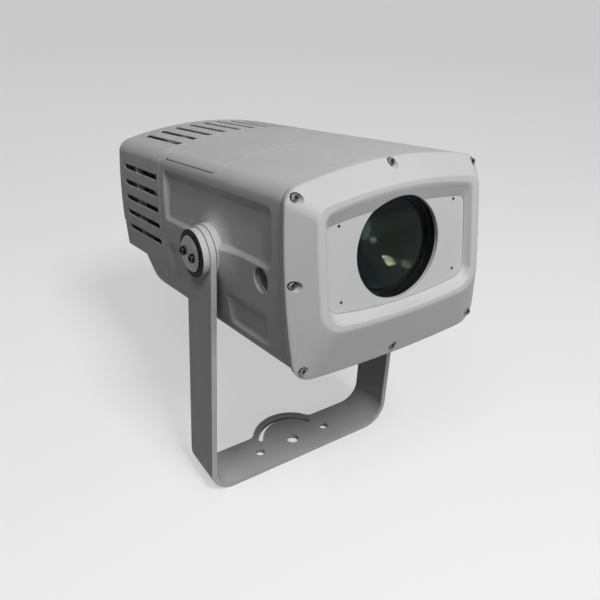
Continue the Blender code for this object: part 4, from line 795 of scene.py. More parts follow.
def scattered(name, points, instance, coat):
    """Copies of a small shape on points, made by Geometry Nodes and turned into a plain mesh."""
    mesh = bpy.data.meshes.new(name)
    mesh.from_pydata(points, [], [])
    obj = bpy.data.objects.new(name, mesh)
    bpy.context.scene.collection.objects.link(obj)
    tree, size_input = scatter_tree(f"{name}_places", instance, coat)
    modifier = obj.modifiers.new("places", "NODES")
    modifier.node_group = tree
    modifier[size_input] = 1.0
    settled(obj)
    bpy.data.objects.remove(instance)
    return obj


# Yoke and pivots

def yoke_bracket(edge):
    """Flat bar bent to a U, with round arm ends, pivot bores, bolt holes and an arc slot."""
    top = PIVOT_HEIGHT + BAR_WIDTH / 2
    outer = BEND_RADIUS + BAR_THICKNESS
    x = ARM_OUTER_X - outer
    run = [(-ARM_OUTER_X, top)]
    run += arc(-x, outer, outer, 180, 270, 14)
    run += arc(x, outer, outer, 270, 360, 14)
    run += [(ARM_OUTER_X, top), (ARM_INNER_X, top)]
    run += arc(x, outer, BEND_RADIUS, 360, 270, 14)
    run += arc(-x, outer, BEND_RADIUS, 270, 180, 14)
    bar = prism("yoke", run + [(-ARM_INNER_X, top)], "Y", -BAR_WIDTH / 2, BULGE_RADIUS + 2)
    above = PIVOT_HEIGHT + BAR_WIDTH
    end = block("end", -160, 160, -BAR_WIDTH, BAR_WIDTH, PIVOT_HEIGHT, above)
    cut(end, rod("round", BAR_WIDTH / 2, "X", (0, PIVOT_HEIGHT), -170, 170, 96), solver="EXACT")
    bore = rod("bore", BORE_RADIUS, "X", (0, PIVOT_HEIGHT), -180, 180)
    cut(bar, prism("trim", rear_trim(), "Z", -10, above), end, bore, solver="EXACT")
    holes = [rod("hole", CENTRE_HOLE_RADIUS, "Z", (0, 0), -5, 20)]
    for hole_x in (-SIDE_HOLE_X, SIDE_HOLE_X):
        holes.append(rod("hole", SIDE_HOLE_RADIUS, "Z", (hole_x, 0), -5, 20))
    holes.append(prism("slot", arc_slot(), "Z", -5, 20))
    return softened(cut(bar, gathered("holes", holes), solver="EXACT"), edge)


def rear_trim():
    """Plan of what is trimmed behind the bar, leaving the bulge round the arc slot."""
    back = BAR_WIDTH / 2
    fillet_y = back + BULGE_FILLET
    fillet_x = math.sqrt((BULGE_RADIUS + BULGE_FILLET) ** 2 - fillet_y ** 2)
    angle = math.degrees(math.atan2(fillet_y, fillet_x))
    wide = ARM_OUTER_X + 20
    deep = BULGE_RADIUS + 20
    right = arc(fillet_x, fillet_y, BULGE_FILLET, 270, 180 + angle, 6)
    middle = arc(0, 0, BULGE_RADIUS, angle, 180 - angle, 40)[1:-1]
    left = [(-x, y) for x, y in reversed(right)]
    return [(wide, back)] + right + middle + left + [(-wide, back), (-wide, deep), (wide, deep)]


def arc_slot():
    """The slot that lets the bracket swing about its centre bolt."""
    reach = ARC_SLOT_REACH
    x = ARC_SLOT_RADIUS * math.sin(math.radians(reach))
    y = ARC_SLOT_RADIUS * math.cos(math.radians(reach))
    outer = arc(0, 0, ARC_SLOT_RADIUS + ARC_SLOT_HALF, 90 - reach, 90 + reach, 30)
    inner = arc(0, 0, ARC_SLOT_RADIUS - ARC_SLOT_HALF, 90 + reach, 90 - reach, 30)
    left = arc(-x, y, ARC_SLOT_HALF, 90 + reach, 270 + reach, 10)[1:-1]
    right = arc(x, y, ARC_SLOT_HALF, 270 - reach, 450 - reach, 10)[1:-1]
    return outer + left + inner + right


def pivot_collar(side):
    """Painted spacer ring outside the arm."""
    start = side * (ARM_OUTER_X + GAP)
    end = side * COLLAR_END_X
    r = COLLAR_RADIUS
    profile = [
        (BORE_RADIUS, start),
        (r, start),
        (r, end - side * COLLAR_EDGE),
        (r - COLLAR_EDGE * 0.3, end - side * COLLAR_EDGE * 0.3),
        (r - COLLAR_EDGE, end),
        (BORE_RADIUS, end),
    ]
    return turned("collar", profile, "X", (0, PIVOT_HEIGHT), 96)


def friction_washer(side):
    """Black ring between the collar and the disc."""
    start = side * (COLLAR_END_X + GAP)
    end = side * WASHER_END_X
    r = WASHER_RADIUS
    profile = [(BORE_RADIUS, start), (r, start), (r, end - side * 0.3)]
    profile += [(r - 0.3, end), (BORE_RADIUS, end)]
    return turned("washer", profile, "X", (0, 0), 96)


def screw_place(way):
    """The clamp screws lie level in the world while the head is nose up."""
    reach = way * CLAMP_SCREW_REACH
    return reach * math.cos(HEAD_TILT), reach * math.sin(HEAD_TILT)


def clamp_disc(side):
    """Stainless disc with a broad chamfer."""
    start = side * (WASHER_END_X + GAP)
    end = side * CLAMP_END_X
    r = CLAMP_RADIUS
    rim = end - side * CLAMP_CHAMFER
    profile = [
        (0, start),
        (r - 0.3, start),
        (r, start + side * 0.3),
        (r, rim - side * 0.2),
        (r - 0.2, rim + side * 0.05),
        (r - CLAMP_CHAMFER + 0.15, end - side * 0.1),
        (r - CLAMP_CHAMFER - 0.25, end),
        (0, end),
    ]
    disc = turned("disc", profile, "X", (0, 0), 96)
    low, high = sorted((start - side * 5, end + side * 5))
    for way in (-1, 1):
        cut(disc, rod("hole", CLAMP_HOLE, "X", screw_place(way), low, high, 32))
    return disc


def cap_screw(axis, centre, seat, out, sizes, socket, steps=48):
    """A cap screw: shank, head with a rounded rim, and a hexagon socket with a tapered mouth."""
    shank, head, height, length = sizes
    rim = 0.12 * head
    profile = [
        (0, seat - out * length),
        (shank, seat - out * length),
        (shank, seat),
        (head - 0.1, seat),
        (head, seat + out * 0.1),
        (head, seat + out * (height - rim)),
        (head - 0.3 * rim, seat + out * (height - 0.3 * rim)),
        (head - rim, seat + out * height),
        (0, seat + out * height),
    ]
    screw = turned("screw", profile, axis, centre, steps)
    low, high = sorted((seat + out * height * 0.4, seat + out * (height + 3)))
    cut(screw, rod("socket", socket, axis, centre, low, high, 6))
    mouth = [
        (0, seat + out * height * 0.8),
        (socket * 0.86, seat + out * height * 0.8),
        (socket * 1.12, seat + out * (height + 0.01)),
        (0, seat + out * (height + 0.01)),
    ]
    return cut(screw, turned("mouth", mouth, axis, centre, 32))


def clamp_screws(side):
    """The two screws of one clamp disc."""
    seat = side * (CLAMP_END_X + GAP)
    places = (screw_place(-1), screw_place(1))
    made = [cap_screw("X", place, seat, side, CLAMP_HEAD, CLAMP_SOCKET) for place in places]
    return gathered("screws", made)


# Housing

def rounded_distance(y, z, y0, y1, z0, z1, radius):
    """Distance inwards from the edge of a rounded rectangle, negative outside it."""
    across = abs(y - (y0 + y1) / 2) - (y1 - y0) / 2 + radius
    up = abs(z - (z0 + z1) / 2) - (z1 - z0) / 2 + radius
    return radius - math.hypot(max(across, 0.0), max(up, 0.0)) - min(max(across, up), 0.0)


def eased_share(share):
    """A share held between nought and one, with its two corners rounded."""
    for corner, sign in ((0.0, 1), (1.0, -1)):
        past = (share - corner) * sign
        if past < -WALL_EASE:
            share = corner
        elif past < WALL_EASE:
            share = corner + sign * (past + WALL_EASE) ** 2 / (4 * WALL_EASE)
    return share


def side_relief(y, z):
    """How far the side stands out: it sinks in the panels and swells at the boss."""
    reach = math.hypot(y, z) - BOSS_RADIUS
    swell = BOSS_SWELL * min(1.0, max(0.0, 1 - reach / BOSS_SWELL_RUN)) ** 2
    for r in RECESSES:
        inside = rounded_distance(y, z, r.y0, r.y1, r.z0, r.z1, r.corner)
        if inside <= 0:
            continue
        floor = (r.y0 + r.front, r.y1 - r.rear, r.z0 + r.low, r.z1 - r.high)
        outside = max(-rounded_distance(y, z, *floor, r.corner * 0.6), 0.0)
        share = eased_share(inside / (inside + outside))
        height = min(max((z - floor[2]) / (floor[3] - floor[2]), 0.0), 1.0)
        rise = FLOOR_SWELL * max(0.0, 1 - max(reach, 0.0) / FLOOR_SWELL_RUN) ** 2
        floor_relief = rise - r.deep_low - (r.deep_high - r.deep_low) * height
        return swell * (1 - share) + floor_relief * share
    return swell


def spaced(start, end, edges):
    """Stations between two ends that pass just beside each edge, closer together near the boss."""
    near = BOSS_RADIUS + BOSS_SWELL_RUN
    marks = {value for edge in edges for value in (edge - BESIDE, edge + BESIDE)} | {-near, near}
    stops = [start] + sorted(value for value in marks if start < value < end) + [end]
    stations = []
    for low, high in zip(stops, stops[1:]):
        pitch = FINE_PITCH if abs(low + high) < 2 * near else PITCH
        count = max(1, round((high - low) / pitch))
        stations += [low + (high - low) * i / count for i in range(count)]
    return stations + [end]


def eased(radius, steps=4):
    """Distance along and inset of a rounded edge, from its outer end inwards."""
    angles = [math.radians(90 * i / steps) for i in reversed(range(steps + 1))]
    return [(radius * (1 - math.sin(angle)), radius * (1 - math.cos(angle))) for angle in angles]


def edged(section, inset, lines=()):
    """Outline at a seam, rounded on the sides and tight over the roof."""
    ring = []
    for plain, rounded in zip(outline(section, 0.0, lines), outline(section, inset, lines)):
        high = min(max((plain[1] - SEAM_TIGHT_Z) / SEAM_TIGHT_RUN, 0.0), 1.0)
        share = 1 - SEAM_TIGHT * smooth(high)
        ring.append(tuple(a + (b - a) * share for a, b in zip(plain, rounded)))
    return ring


def housing_skin(edge, rear_edge):
    """Outside of the housing, with its recesses as soft-edged panels."""
    crosswise = []
    upward = []
    for r in RECESSES:
        crosswise += [r.y0, r.y0 + r.front, r.y1 - r.rear, r.y1]
        upward += [r.z0, r.z0 + r.low, r.z1 - r.high, r.z1]
    lines = spaced(*SIDE_LINES, upward)
    start = SEAM_Y + GAP / 2
    stations = spaced(start + edge, REAR_SEAM_Y - rear_edge, crosswise)
    steps = [(start + along, inset) for along, inset in eased(edge)[:-1]]
    steps += [(y, 0.0) for y in stations]
    steps += [(REAR_SEAM_Y - along, inset) for along, inset in reversed(eased(rear_edge)[:-1])]
    rings = []
    for y, inset in steps:
        ring = []
        for x, z in edged(head_section(y), inset, lines):
            relief = side_relief(y, z) if abs(x) > PAD_X - 5 else 0.0
            ring.append((x + relief * (1 if x > 0 else -1), y, z))
        rings.append(ring)
    return loft("housing", rings)


def pivot_boss(side):
    """Round machined face that the arm bears on, filleted where it rises from the panel recess."""
    face = side * BOSS_X
    root = side * (HEAD_HALF - 10)
    foot = HEAD_HALF - BOSS_FOOT_DEPTH
    turns = [math.radians(90 * i / 8) for i in range(9)]
    profile = [(0, root), (BOSS_RADIUS + BOSS_FOOT, root)]
    for turn in turns:
        radius = BOSS_RADIUS + BOSS_FOOT * (1 - math.sin(turn))
        profile.append((radius, side * (foot + BOSS_FOOT * (1 - math.cos(turn)))))
    profile += [
        (BOSS_RADIUS, face - side * 0.6),
        (BOSS_RADIUS - 0.2, face - side * 0.2),
        (BOSS_RADIUS - 0.6, face),
        (0, face),
    ]
    return turned("boss", profile, "X", (0, 0), 128)


def lid_plan(grow):
    """Plan of the top cover, grown or shrunk evenly."""
    half = LID_HALF + grow
    return rounded_rectangle(
        -half, half, LID_FRONT_Y - grow, LID_REAR_Y + grow, LID_CORNER + grow, steps=10, run=24
    )


def roof_skin(name, inset):
    """The head's form under the roof, some way below its surface, past both ends of the lid."""
    ends = (LID_FRONT_Y - 30, LID_REAR_Y + 30)
    return loft(name, [laid(outline(head_section(y), inset), "Y", y) for y in ends])


def port_hole(side, edge):
    """Blind round hole in the side."""
    y, z, radius, depth = PORT

    def shape(grow):
        return circle(y, z, radius + grow)

    return fitted("port", shape, side_x, "X", depth, 5, edge, side=side)


def screw_places():
    """Where the bezel screws go, seen from the front."""
    corner_x = HEAD_HALF - CORNER_SCREW_IN
    places = []
    for side in (-1, 1):
        places.append((side * corner_x, HEAD_TOP - UPPER_SCREW_DROP))
        places.append((side * corner_x, HEAD_BOTTOM + LOWER_SCREW_RISE))
        places.append((side * (HEAD_HALF - SIDE_SCREW_IN), SIDE_SCREW_Z))
    return places + [(0, HEAD_TOP - TOP_SCREW_DROP), (0, HEAD_BOTTOM + BOTTOM_SCREW_RISE)]


def main_housing(edge, rear_edge):
    """Casting with its cavity, flanges, hatch, pivot bores and ports."""
    body = housing_skin(edge, rear_edge)
    for side in (-1, 1):
        fuse(body, pivot_boss(side))
        cut(body, port_hole(side, 1.0))
    rings = []
    for y in (SEAM_Y + FLANGE_DEPTH, REAR_SEAM_Y - FLANGE_DEPTH):
        section = head_section(y)
        hollow = section._replace(
            half=PAD_X,
            top=section.top - ROOF_WALL,
            bottom=section.bottom + WALL,
            r_top=8.0,
            r_bottom=15.0,
        )
        rings.append(laid(outline(hollow), "Y", y))
    cut(body, loft("cavity", rings))
    for seam, way in ((SEAM_Y, 1), (REAR_SEAM_Y, -1)):
        low, high = sorted((seam - 5 * way, seam + (FLANGE_DEPTH + 5) * way))
        opening = outline(head_section((low + high) / 2), FLANGE_WIDTH)
        cut(body, prism("opening", opening, "Y", low, high))
    cut(body, rod("bore", BORE_RADIUS, "X", (0, 0), -BOSS_X - 10, BOSS_X + 10))
    step = lid_edge("step", LID_SEAM, 14.0, 0.35, 1)
    cut(body, cut(step, roof_skin("under", LID_THICKNESS + LID_SEAT)))
    return cut(body, prism("hatch", lid_plan(-LID_LEDGE), "Z", LID_SKIRT_Z - 20, HEAD_TOP + 20))


def lid_edge(name, gap, deep, radius, sign):
    """The lid's plan square to the roof: the cutter of its seat, or its rim with sign -1."""
    def shape(grow):
        return lid_plan(gap + grow)

    return fitted(name, shape, below(roof_z, SEAM_LIP), "Z", deep, 12.0, radius, sign)


def top_cover():
    """Access cover that follows the roof, with a rounded rim."""
    cover = roof_skin("top_cover_shell", 0.0)
    cut(cover, roof_skin("under", LID_THICKNESS))
    return keep(cover, lid_edge("rim", 0.0, 13.0, 0.4, -1))


# Bezel

def crease_section():
    """The widest outline of the bezel."""
    return Section(
        half=HEAD_HALF + 2.8,
        top=HEAD_TOP - 0.2,
        bottom=HEAD_BOTTOM - 2.0,
        r_top=SHOULDER_RADIUS + 1,
        r_bottom=CHINE_RADIUS,
        crown=CROWN,
        belly=BELLY,
        barrel=BARREL - 0.5,
    )


def rim_section():
    """Outer edge of the flat rim round the window."""
    crease = crease_section()
    return Section(
        half=crease.half - 22.8,
        top=crease.top - 20.0,
        bottom=PLATE_BOTTOM - 12.3,
        r_top=13.0,
        r_bottom=24.0,
        crown=9.0,
        belly=5.0,
        barrel=1.0,
    )


def window_section():
    """Inner edge of the rim."""
    rim = rim_section()
    return Section(
        half=rim.half - 8.5,
        top=rim.top - 6.3,
        bottom=rim.bottom + 5.5,
        r_top=8.0,
        r_bottom=18.0,
        crown=9.5,
        belly=6.0,
        barrel=0.8,
    )


def plate_section():
    """Floor of the window, where the lens plate lies."""
    window = window_section()
    return Section(
        half=window.half - 4.0,
        top=window.top - 16.4,
        bottom=PLATE_BOTTOM,
        r_top=7.0,
        r_bottom=12.0,
        crown=6.4,
        belly=7.8,
        barrel=0.6,
    )


def blended(first, second, share):
    """A section part of the way from one to another."""
    return Section(*(a + (b - a) * share for a, b in zip(first, second)))


def bezel_skin(edge, sunk=0.0):
    """Outside of the bezel: side band, rounded crease, sloped facets and a soft-edged rim."""
    seam = head_section(SEAM_Y)
    crease = crease_section()
    rim = rim_section()
    run = CREASE_Y - FRONT_Y
    start = SEAM_Y - GAP / 2
    stations = [(start - along * edge, seam, inset * edge) for along, inset in BAND_EDGE]
    for i in range(7):
        share = i / 6
        band = blended(seam, crease, 0.72 + 0.28 * share)
        y = CREASE_Y + CREASE_ROUND * (1 - 2 * share)
        facet = blended(crease, rim, max(0.0, (CREASE_Y - y) / run))
        stations.append((y, blended(band, facet, smooth(share)), 0.32 * math.sin(math.pi * share)))
    for share in (0.3, 0.55, 0.8):
        stations.append((CREASE_Y - run * share, blended(crease, rim, share), 0.0))
    rings = [laid(outline(section, inset + sunk), "Y", y) for y, section, inset in stations]
    for i in range(6):
        angle = math.radians(i * 18)
        y = FRONT_Y + RIM_EDGE * (1 - math.sin(angle))
        section = blended(crease, rim, (CREASE_Y - y) / run)
        inset = RIM_EDGE * (1 - math.cos(angle)) ** 1.5
        rings.append(laid(outline(section, inset + sunk), "Y", y + sunk))
    return loft("bezel", rings)


def bezel_cavity():
    """Hollow behind the facets."""
    crease = crease_section()
    rim = rim_section()
    hollow = crease._replace(
        half=HEAD_HALF - 16.5,
        top=HEAD_TOP - 14.4,
        bottom=HEAD_BOTTOM + 17.5,
        r_top=8.0,
        r_bottom=14.0,
    )
    facet = blended(crease, rim, (CREASE_Y - PLATE_Y - 1) / (CREASE_Y - FRONT_Y))
    front = facet._replace(
        half=facet.half - 6, top=facet.top - 6, bottom=facet.bottom + 7.5, r_top=8.0, r_bottom=14.0
    )
    rings = [laid(outline(hollow), "Y", y) for y in (SEAM_Y + 2, CREASE_Y - 5)]
    rings.append(laid(outline(front), "Y", PLATE_Y - 1))
    plate = plate_section()
    core = plate._replace(half=plate.half + 5, top=plate.top + 9, bottom=plate.bottom - 6.5)
    ends = (FRONT_Y - 5, PLATE_BACK_Y + 4)
    return cut(loft("cavity", rings), loft("core", [laid(outline(core), "Y", y) for y in ends]))


def window_tool():
    """Cutter for the window, flared at the rim and easing into the floor."""
    floor = outline(plate_section())
    edge = outline(window_section())
    low = min(z for x, z in floor)
    tall = max(z for x, z in floor) - low
    rings = [laid(floor, "Y", PLATE_BACK_Y), laid(floor, "Y", PLATE_Y)]
    levels = [(rise, 0.0) for rise in (0.03, 0.08, 0.16, 0.27, 0.4, 0.55, 0.7)]
    for i in range(7):
        angle = math.radians(15 * i)
        rise = 1 - RIM_MOUTH * (1 - math.sin(angle)) / WINDOW_DEPTH
        levels.append((rise, RIM_MOUTH * (1 - math.cos(angle))))
    for rise, flare in levels:
        ring = []
        for (x0, z0), (x1, z1), (x2, z2) in zip(floor, edge, outline(window_section(), -flare)):
            share = rise ** (0.62 + 0.38 * (z0 - low) / tall)
            ring.append((x0 + (x1 - x0) * share + x2 - x1, z0 + (z1 - z0) * share + z2 - z1))
        rings.append(laid(ring, "Y", PLATE_Y - WINDOW_DEPTH * rise))
    rings.append(laid(ring, "Y", FRONT_Y - 3))
    return loft("window", rings)


def counterbore(place, grow):
    """Cutter of a drafted screw seat that opens to the front."""
    wide = COUNTERBORE_RADIUS + grow
    front = FRONT_Y - 5
    mouth = wide + COUNTERBORE_DRAFT * (SCREW_SEAT_Y - front)
    profile = [(0, SCREW_SEAT_Y), (wide, SCREW_SEAT_Y), (mouth, front), (0, front)]
    return turned("seat", profile, "Y", place, 40)


def front_bezel(edge):
    """Sloped front frame with its window, lens hole and screw seats."""
    bezel = bezel_skin(edge)
    cut(bezel, bezel_cavity(), window_tool())
    ends = (FRONT_Y - 10, PLATE_BACK_Y + 1)
    cut(bezel, rod("lens hole", LENS_RADIUS, "Y", (0, LENS_Z), *ends, 128))
    ends = (PLATE_BACK_Y - 0.1, SEAM_Y)
    cut(bezel, rod("barrel hole", BARREL_OUTER + 0.6, "Y", (0, LENS_Z), *ends, 128))
    places = screw_places()
    for wide, deep in COUNTERBORE_RIMS:
        rims = gathered("rims", [counterbore(place, wide) for place in places])
        cut(bezel, cut(rims, bezel_skin(edge, deep)))
    cut(bezel, gathered("seats", [counterbore(place, 0.0) for place in places]))
    ends = (SCREW_SEAT_Y - 1, SEAM_Y + 5)
    shanks = [rod("shank", SCREW_HEAD[0] + GAP, "Y", place, *ends, 24) for place in places]
    return cut(bezel, gathered("shanks", shanks))


def lens_plate():
    """Flat plate in the window with a fine bevel round its edge."""
    plate = plate_section()
    front = PLATE_Y + GAP
    back = PLATE_BACK_Y - GAP
    steps = ((back, 0.0), (front + 0.35, 0.0), (front + 0.1, 0.1), (front, 0.35))
    rings = [laid(outline(plate, GAP + inset), "Y", y) for y, inset in steps]
    made = loft("lens_plate_face", rings)
    wide = LENS_RADIUS + 0.5
    hole = [(0, back + 2), (LENS_RADIUS, back + 2), (LENS_RADIUS, front + 0.4)]
    hole += [(wide, front - 0.05), (wide, front - 3), (0, front - 3)]
    return cut(made, turned("hole", hole, "Y", (0, LENS_Z), 160))


# Lens

def dome(name, radius, front, edge_front, edge_back, back):
    """A turned lens with two domed faces and a plain edge."""
    profile = []
    for share in [i / 14 for i in range(15)]:
        profile.append((radius * share, front + (edge_front - front) * share * share))
    for share in [i / 10 for i in reversed(range(11))]:
        profile.append((radius * share, back + (edge_back - back) * share * share))
    return turned(name, profile, "Y", (0, LENS_Z), 96)


def lens_barrel():
    """Tube with a front chamfer, a seat for the lens and a flange at its rear."""
    inner = BARREL_INNER
    outer = BARREL_OUTER
    flange = BARREL_REAR_Y - 4
    seat = LENS_SEAT_Y
    profile = [
        (inner + 0.6, BARREL_FRONT_Y),
        (outer - 0.4, BARREL_FRONT_Y),
        (outer, BARREL_FRONT_Y + 0.4),
        (outer, flange),
        (outer + 6, flange),
        (outer + 6, BARREL_REAR_Y - GAP),
        (inner - 12, BARREL_REAR_Y - GAP),
        (inner - 12, flange),
        (inner - 4, seat + 10),
        (inner - 4, seat),
        (inner, seat),
        (inner, BARREL_FRONT_Y + 0.6),
    ]
    return turned("lens_tube", profile, "Y", (0, LENS_Z), 96)


def front_element():
    """Domed front glass, seated in the barrel."""
    back = LENS_SEAT_Y - 2 * GAP
    front = back - LENS_DEPTH
    middle = back + LENS_REAR_BULGE
    return dome("front_element", BARREL_INNER - GAP, front, back - LENS_EDGE, back, middle)


def lens_ring():
    """Thin pale ring round the front glass."""
    inner, outer, front, back = LENS_RING
    profile = [(inner, front), (outer, front), (outer, back), (inner, back)]
    return turned("lens_ring", profile, "Y", (0, LENS_Z), 128)


def second_element():
    """Dark hollow element behind the front glass: opaque and near black, painted shade for the depth inside the
    lens.
    """
    front = SECOND_FRONT_Y
    back = SECOND_BACK_Y
    return dome("second_element", SECOND_RADIUS, front + SECOND_HOLLOW, front, back, back)


# Rear cover

def step_profile(depth):
    """What the stepped underside takes away, moved in by a depth."""
    slope = (STEP_Z - HEAD_BOTTOM) / (STEP_END_Y - STEP_START_Y)
    start = STEP_START_Y - 30 / slope - depth
    return [
        (start, HEAD_BOTTOM - 30),
        (STEP_END_Y - depth * 0.4, STEP_Z + depth),
        (SILL_Y - depth, STEP_Z + depth),
        (SILL_Y - depth, SILL_Z + depth),
        (REAR_Y + 20, SILL_Z + depth),
        (REAR_Y + 20, HEAD_BOTTOM - 35),
        (start, HEAD_BOTTOM - 35),
    ]


def cover_form(name, inset, y_from, y_to, edge, front_edge=0.0):
    """The rear cover's form with a rounded rear edge."""
    rings = []
    for along, rounded in eased(front_edge) if front_edge else [(0.0, inset)]:
        rings.append(laid(edged(head_section(y_from), rounded), "Y", y_from + along))
    for along, rounded in reversed(eased(edge, 8)):
        y = y_to - along
        rings.append(laid(outline(head_section(y), inset + rounded), "Y", y))
    return loft(name, rings)


def vent_slot(axis, front, place, half, side=1):
    """Cutters of one slot: its eased mouth, and the wider draft behind its lip."""
    surface = side_x if axis == "X" else roof_z

    def shape(grow):
        low = place - half - grow
        high = place + half + grow
        ends = (front - grow, SLOT_REAR_Y + grow)
        plan = (*ends, low, high) if axis == "X" else (low, high, *ends)
        return rounded_rectangle(*plan, SLOT_CORNER + grow, steps=5, run=3)

    def wide(grow):
        return shape(grow + SLOT_FLARE)

    deep = 10 if axis == "X" else 12
    mouth = fitted("slot", shape, surface, axis, deep, 8, SLOT_EASE, side=side)
    lip = below(surface, SLOT_LIP)
    return mouth, fitted("flare", wide, lip, axis, deep - 2, 0.01, 0.01, side=side)


def rear_cover(vents, edge):
    """Vented cover with its slots, inner ribs and stepped underside."""
    cover = cover_form("rear_cover_shell", 0.0, COVER_FRONT_Y, REAR_Y, COVER_EDGE, edge)
    wide = HEAD_HALF + 20
    cut(cover, prism("step", step_profile(0), "X", -wide, wide))
    ends = (COVER_FRONT_Y - 5, REAR_Y - COVER_WALL)
    inside = cover_form("inside", COVER_WALL, *ends, COVER_EDGE - COVER_WALL)
    cut(inside, prism("step", step_profile(COVER_WALL), "X", -wide, wide))
    cut(cover, inside)
    half = vents.slot_width / 2 - 0.2
    pairs = []
    for i in range(vents.side_slots):
        z = SIDE_SLOT_TOP_Z - i * vents.side_pitch
        pairs += [vent_slot("X", SIDE_SLOT_FRONT_Y, z, half, side) for side in (-1, 1)]
    for i in range(vents.top_slots):
        x = (i - (vents.top_slots - 1) / 2) * vents.top_pitch
        pairs.append(vent_slot("Z", TOP_SLOT_FRONT_Y, x, half))
    slots, flares = zip(*pairs)
    cut(cover, gathered("slots", slots), gathered("flares", flares))
    low = SIDE_SLOT_TOP_Z - vents.side_slots * vents.side_pitch + 8
    for side in (-1, 1):
        x0, x1 = sorted((side * (HEAD_HALF - 11), side * (HEAD_HALF - COVER_WALL + 0.5)))
        rib = block("rib", x0, x1, RIB_Y - 2, RIB_Y + 2, low, SIDE_SLOT_TOP_Z + 12)
        fuse(cover, keep(rib, cover_form("form", 1.2, COVER_FRONT_Y, REAR_Y, COVER_EDGE)))
    ends = (STEP_Z - 10, STEP_Z + 10)
    return cut(cover, rod("gland hole", GLAND_SHANK + GAP, "Z", (0, GLAND_Y), *ends))


def cable_gland():
    """Gland body with a hexagon, a domed nut, a lock nut on the inside and a blind bore."""
    low = STEP_Z - GAP
    high = STEP_Z + COVER_WALL + GAP
    r = GLAND_RADIUS
    profile = [
        (0, high + 4),
        (r - 0.5, high + 4),
        (r, high + 3.5),
        (r, high),
        (GLAND_SHANK, high),
        (GLAND_SHANK, low),
        (r, low),
        (r, low - 6),
        (r, low - 12),
        (r - 0.6, low - 15.5),
        (r - 3.5, low - 18.6),
        (r - 4, low - 19),
        (GLAND_BORE, low - 19),
        (GLAND_BORE, low - 4),
        (0, low - 4),
    ]
    gland = turned("gland", profile, "Z", (0, GLAND_Y))
    flats = rod("flats", GLAND_NUT, "Z", (0, GLAND_Y), low - 5, low - 0.02, 6)
    nut = rod("nut", GLAND_NUT, "Z", (0, GLAND_Y), high + 0.02, high + 3.8, 6)
    return fuse(gland, softened(flats, 0.5), softened(nut, 0.4))


def blanking_plug(side):
    """Dark plug at the bottom of the port."""
    y, z, radius, depth = PORT
    floor = side * (HEAD_HALF - depth + GAP)
    face = floor + side * 2.5
    r = radius - GAP
    groove = face - side * 0.4
    profile = [
        (0, floor),
        (r, floor),
        (r, groove),
        (r - 0.4, face),
        (r - 2.2, face),
        (r - 2.5, groove),
        (6.2, groove),
        (5.9, face),
        (0, face),
    ]
    plug = turned("plug", profile, "X", (y, z))
    low, high = sorted((floor + side, floor + side * 9))
    return cut(plug, rod("socket", 4, "X", (y, z), low, high, 6))


# Settings

class CoatSettings(bpy.types.PropertyGroup):
    """Powder coat of the castings and the yoke."""

    colour: FloatVectorProperty(
        name="Colour", description="Colour of the powder coat", subtype="COLOR",
        default=(0.47, 0.472, 0.47),
    )
    roughness: FloatProperty(
        name="Roughness", description="Roughness of the powder coat", subtype="FACTOR",
        default=0.52, min=0.1, max=1.0,
    )
    grain: FloatProperty(
        name="Grain", description="Size of the coat's grain in millimetres",
        default=0.7, min=0.1, max=5.0,
    )
    grain_height: FloatProperty(
        name="Grain height", description="Relief of the grain in millimetres",
        default=0.12, min=0.0, max=1.0,
    )


class EdgeSettings(bpy.types.PropertyGroup):
    """Rounding of cast and cut edges."""

    casting: FloatProperty(
        name="Casting", description="Radius on the casting's seams in millimetres",
        default=0.8, min=0.1, max=3.0,
    )
    rear_seam: FloatProperty(
        name="Rear seam", description="Radius on both sides of the rear seam in millimetres",
        default=2.2, min=0.1, max=4.0,
    )
    bar: FloatProperty(
        name="Bar", description="Radius on the yoke's edges in millimetres",
        default=0.7, min=0.1, max=2.0,
    )


class VentSettings(bpy.types.PropertyGroup):
    """Slots of the rear cover."""

    side_slots: IntProperty(
        name="Side slots", description="Slots in each side", default=5, min=1, max=9
    )
    top_slots: IntProperty(
        name="Top slots", description="Slots in the top", default=9, min=1, max=15
    )
    side_pitch: FloatProperty(
        name="Side pitch", description="Distance between side slots in millimetres",
        default=20.0, min=9.0,
    )
    top_pitch: FloatProperty(
        name="Top pitch", description="Distance between top slots in millimetres",
        default=20.5, min=9.0,
    )
    slot_width: FloatProperty(
        name="Slot width", description="Width of a slot in millimetres",
        default=7.0, min=4.0, max=12.0,
    )


class StageSettings(bpy.types.PropertyGroup):
    """Camera, lights and floor."""

    position: FloatVectorProperty(
        name="Camera", description="Place of the camera", subtype="TRANSLATION", unit="LENGTH",
        default=(-0.4176, -0.5805, 0.6350),
    )
    yaw: FloatProperty(
        name="Yaw", description="Turn of the camera to the right", subtype="ANGLE",
        default=math.radians(35.38),
    )
    pitch: FloatProperty(
        name="Pitch", description="Camera's dip below level", subtype="ANGLE",
        default=math.radians(25.26),
    )
    roll: FloatProperty(
        name="Roll", description="Camera's roll", subtype="ANGLE", default=math.radians(3.11)
    )
    focal_pixels: FloatProperty(
        name="Focal length", description="Focal length in pixels of a 600 pixel wide picture",
        default=689.08,
    )
    rise_pixels: FloatProperty(
        name="Rise", description="How far the picture is shifted up, in pixels", default=60.0
    )
    floor_colour: FloatVectorProperty(
        name="Floor", description="Colour of the floor", subtype="COLOR", default=(0.8, 0.8, 0.8)
    )
    bounce: FloatProperty(
        name="Bounce", description="Share of its colour that the floor sends back at the object",
        default=0.05, min=0.0, max=1.0, subtype="FACTOR",
    )
    key: FloatProperty(
        name="Key light", description="Power of the main lamp", unit="POWER", default=39.5, min=0.0
    )
    fill: FloatProperty(
        name="Fill", description="Strength of the surrounding light", default=0.02, min=0.0
    )


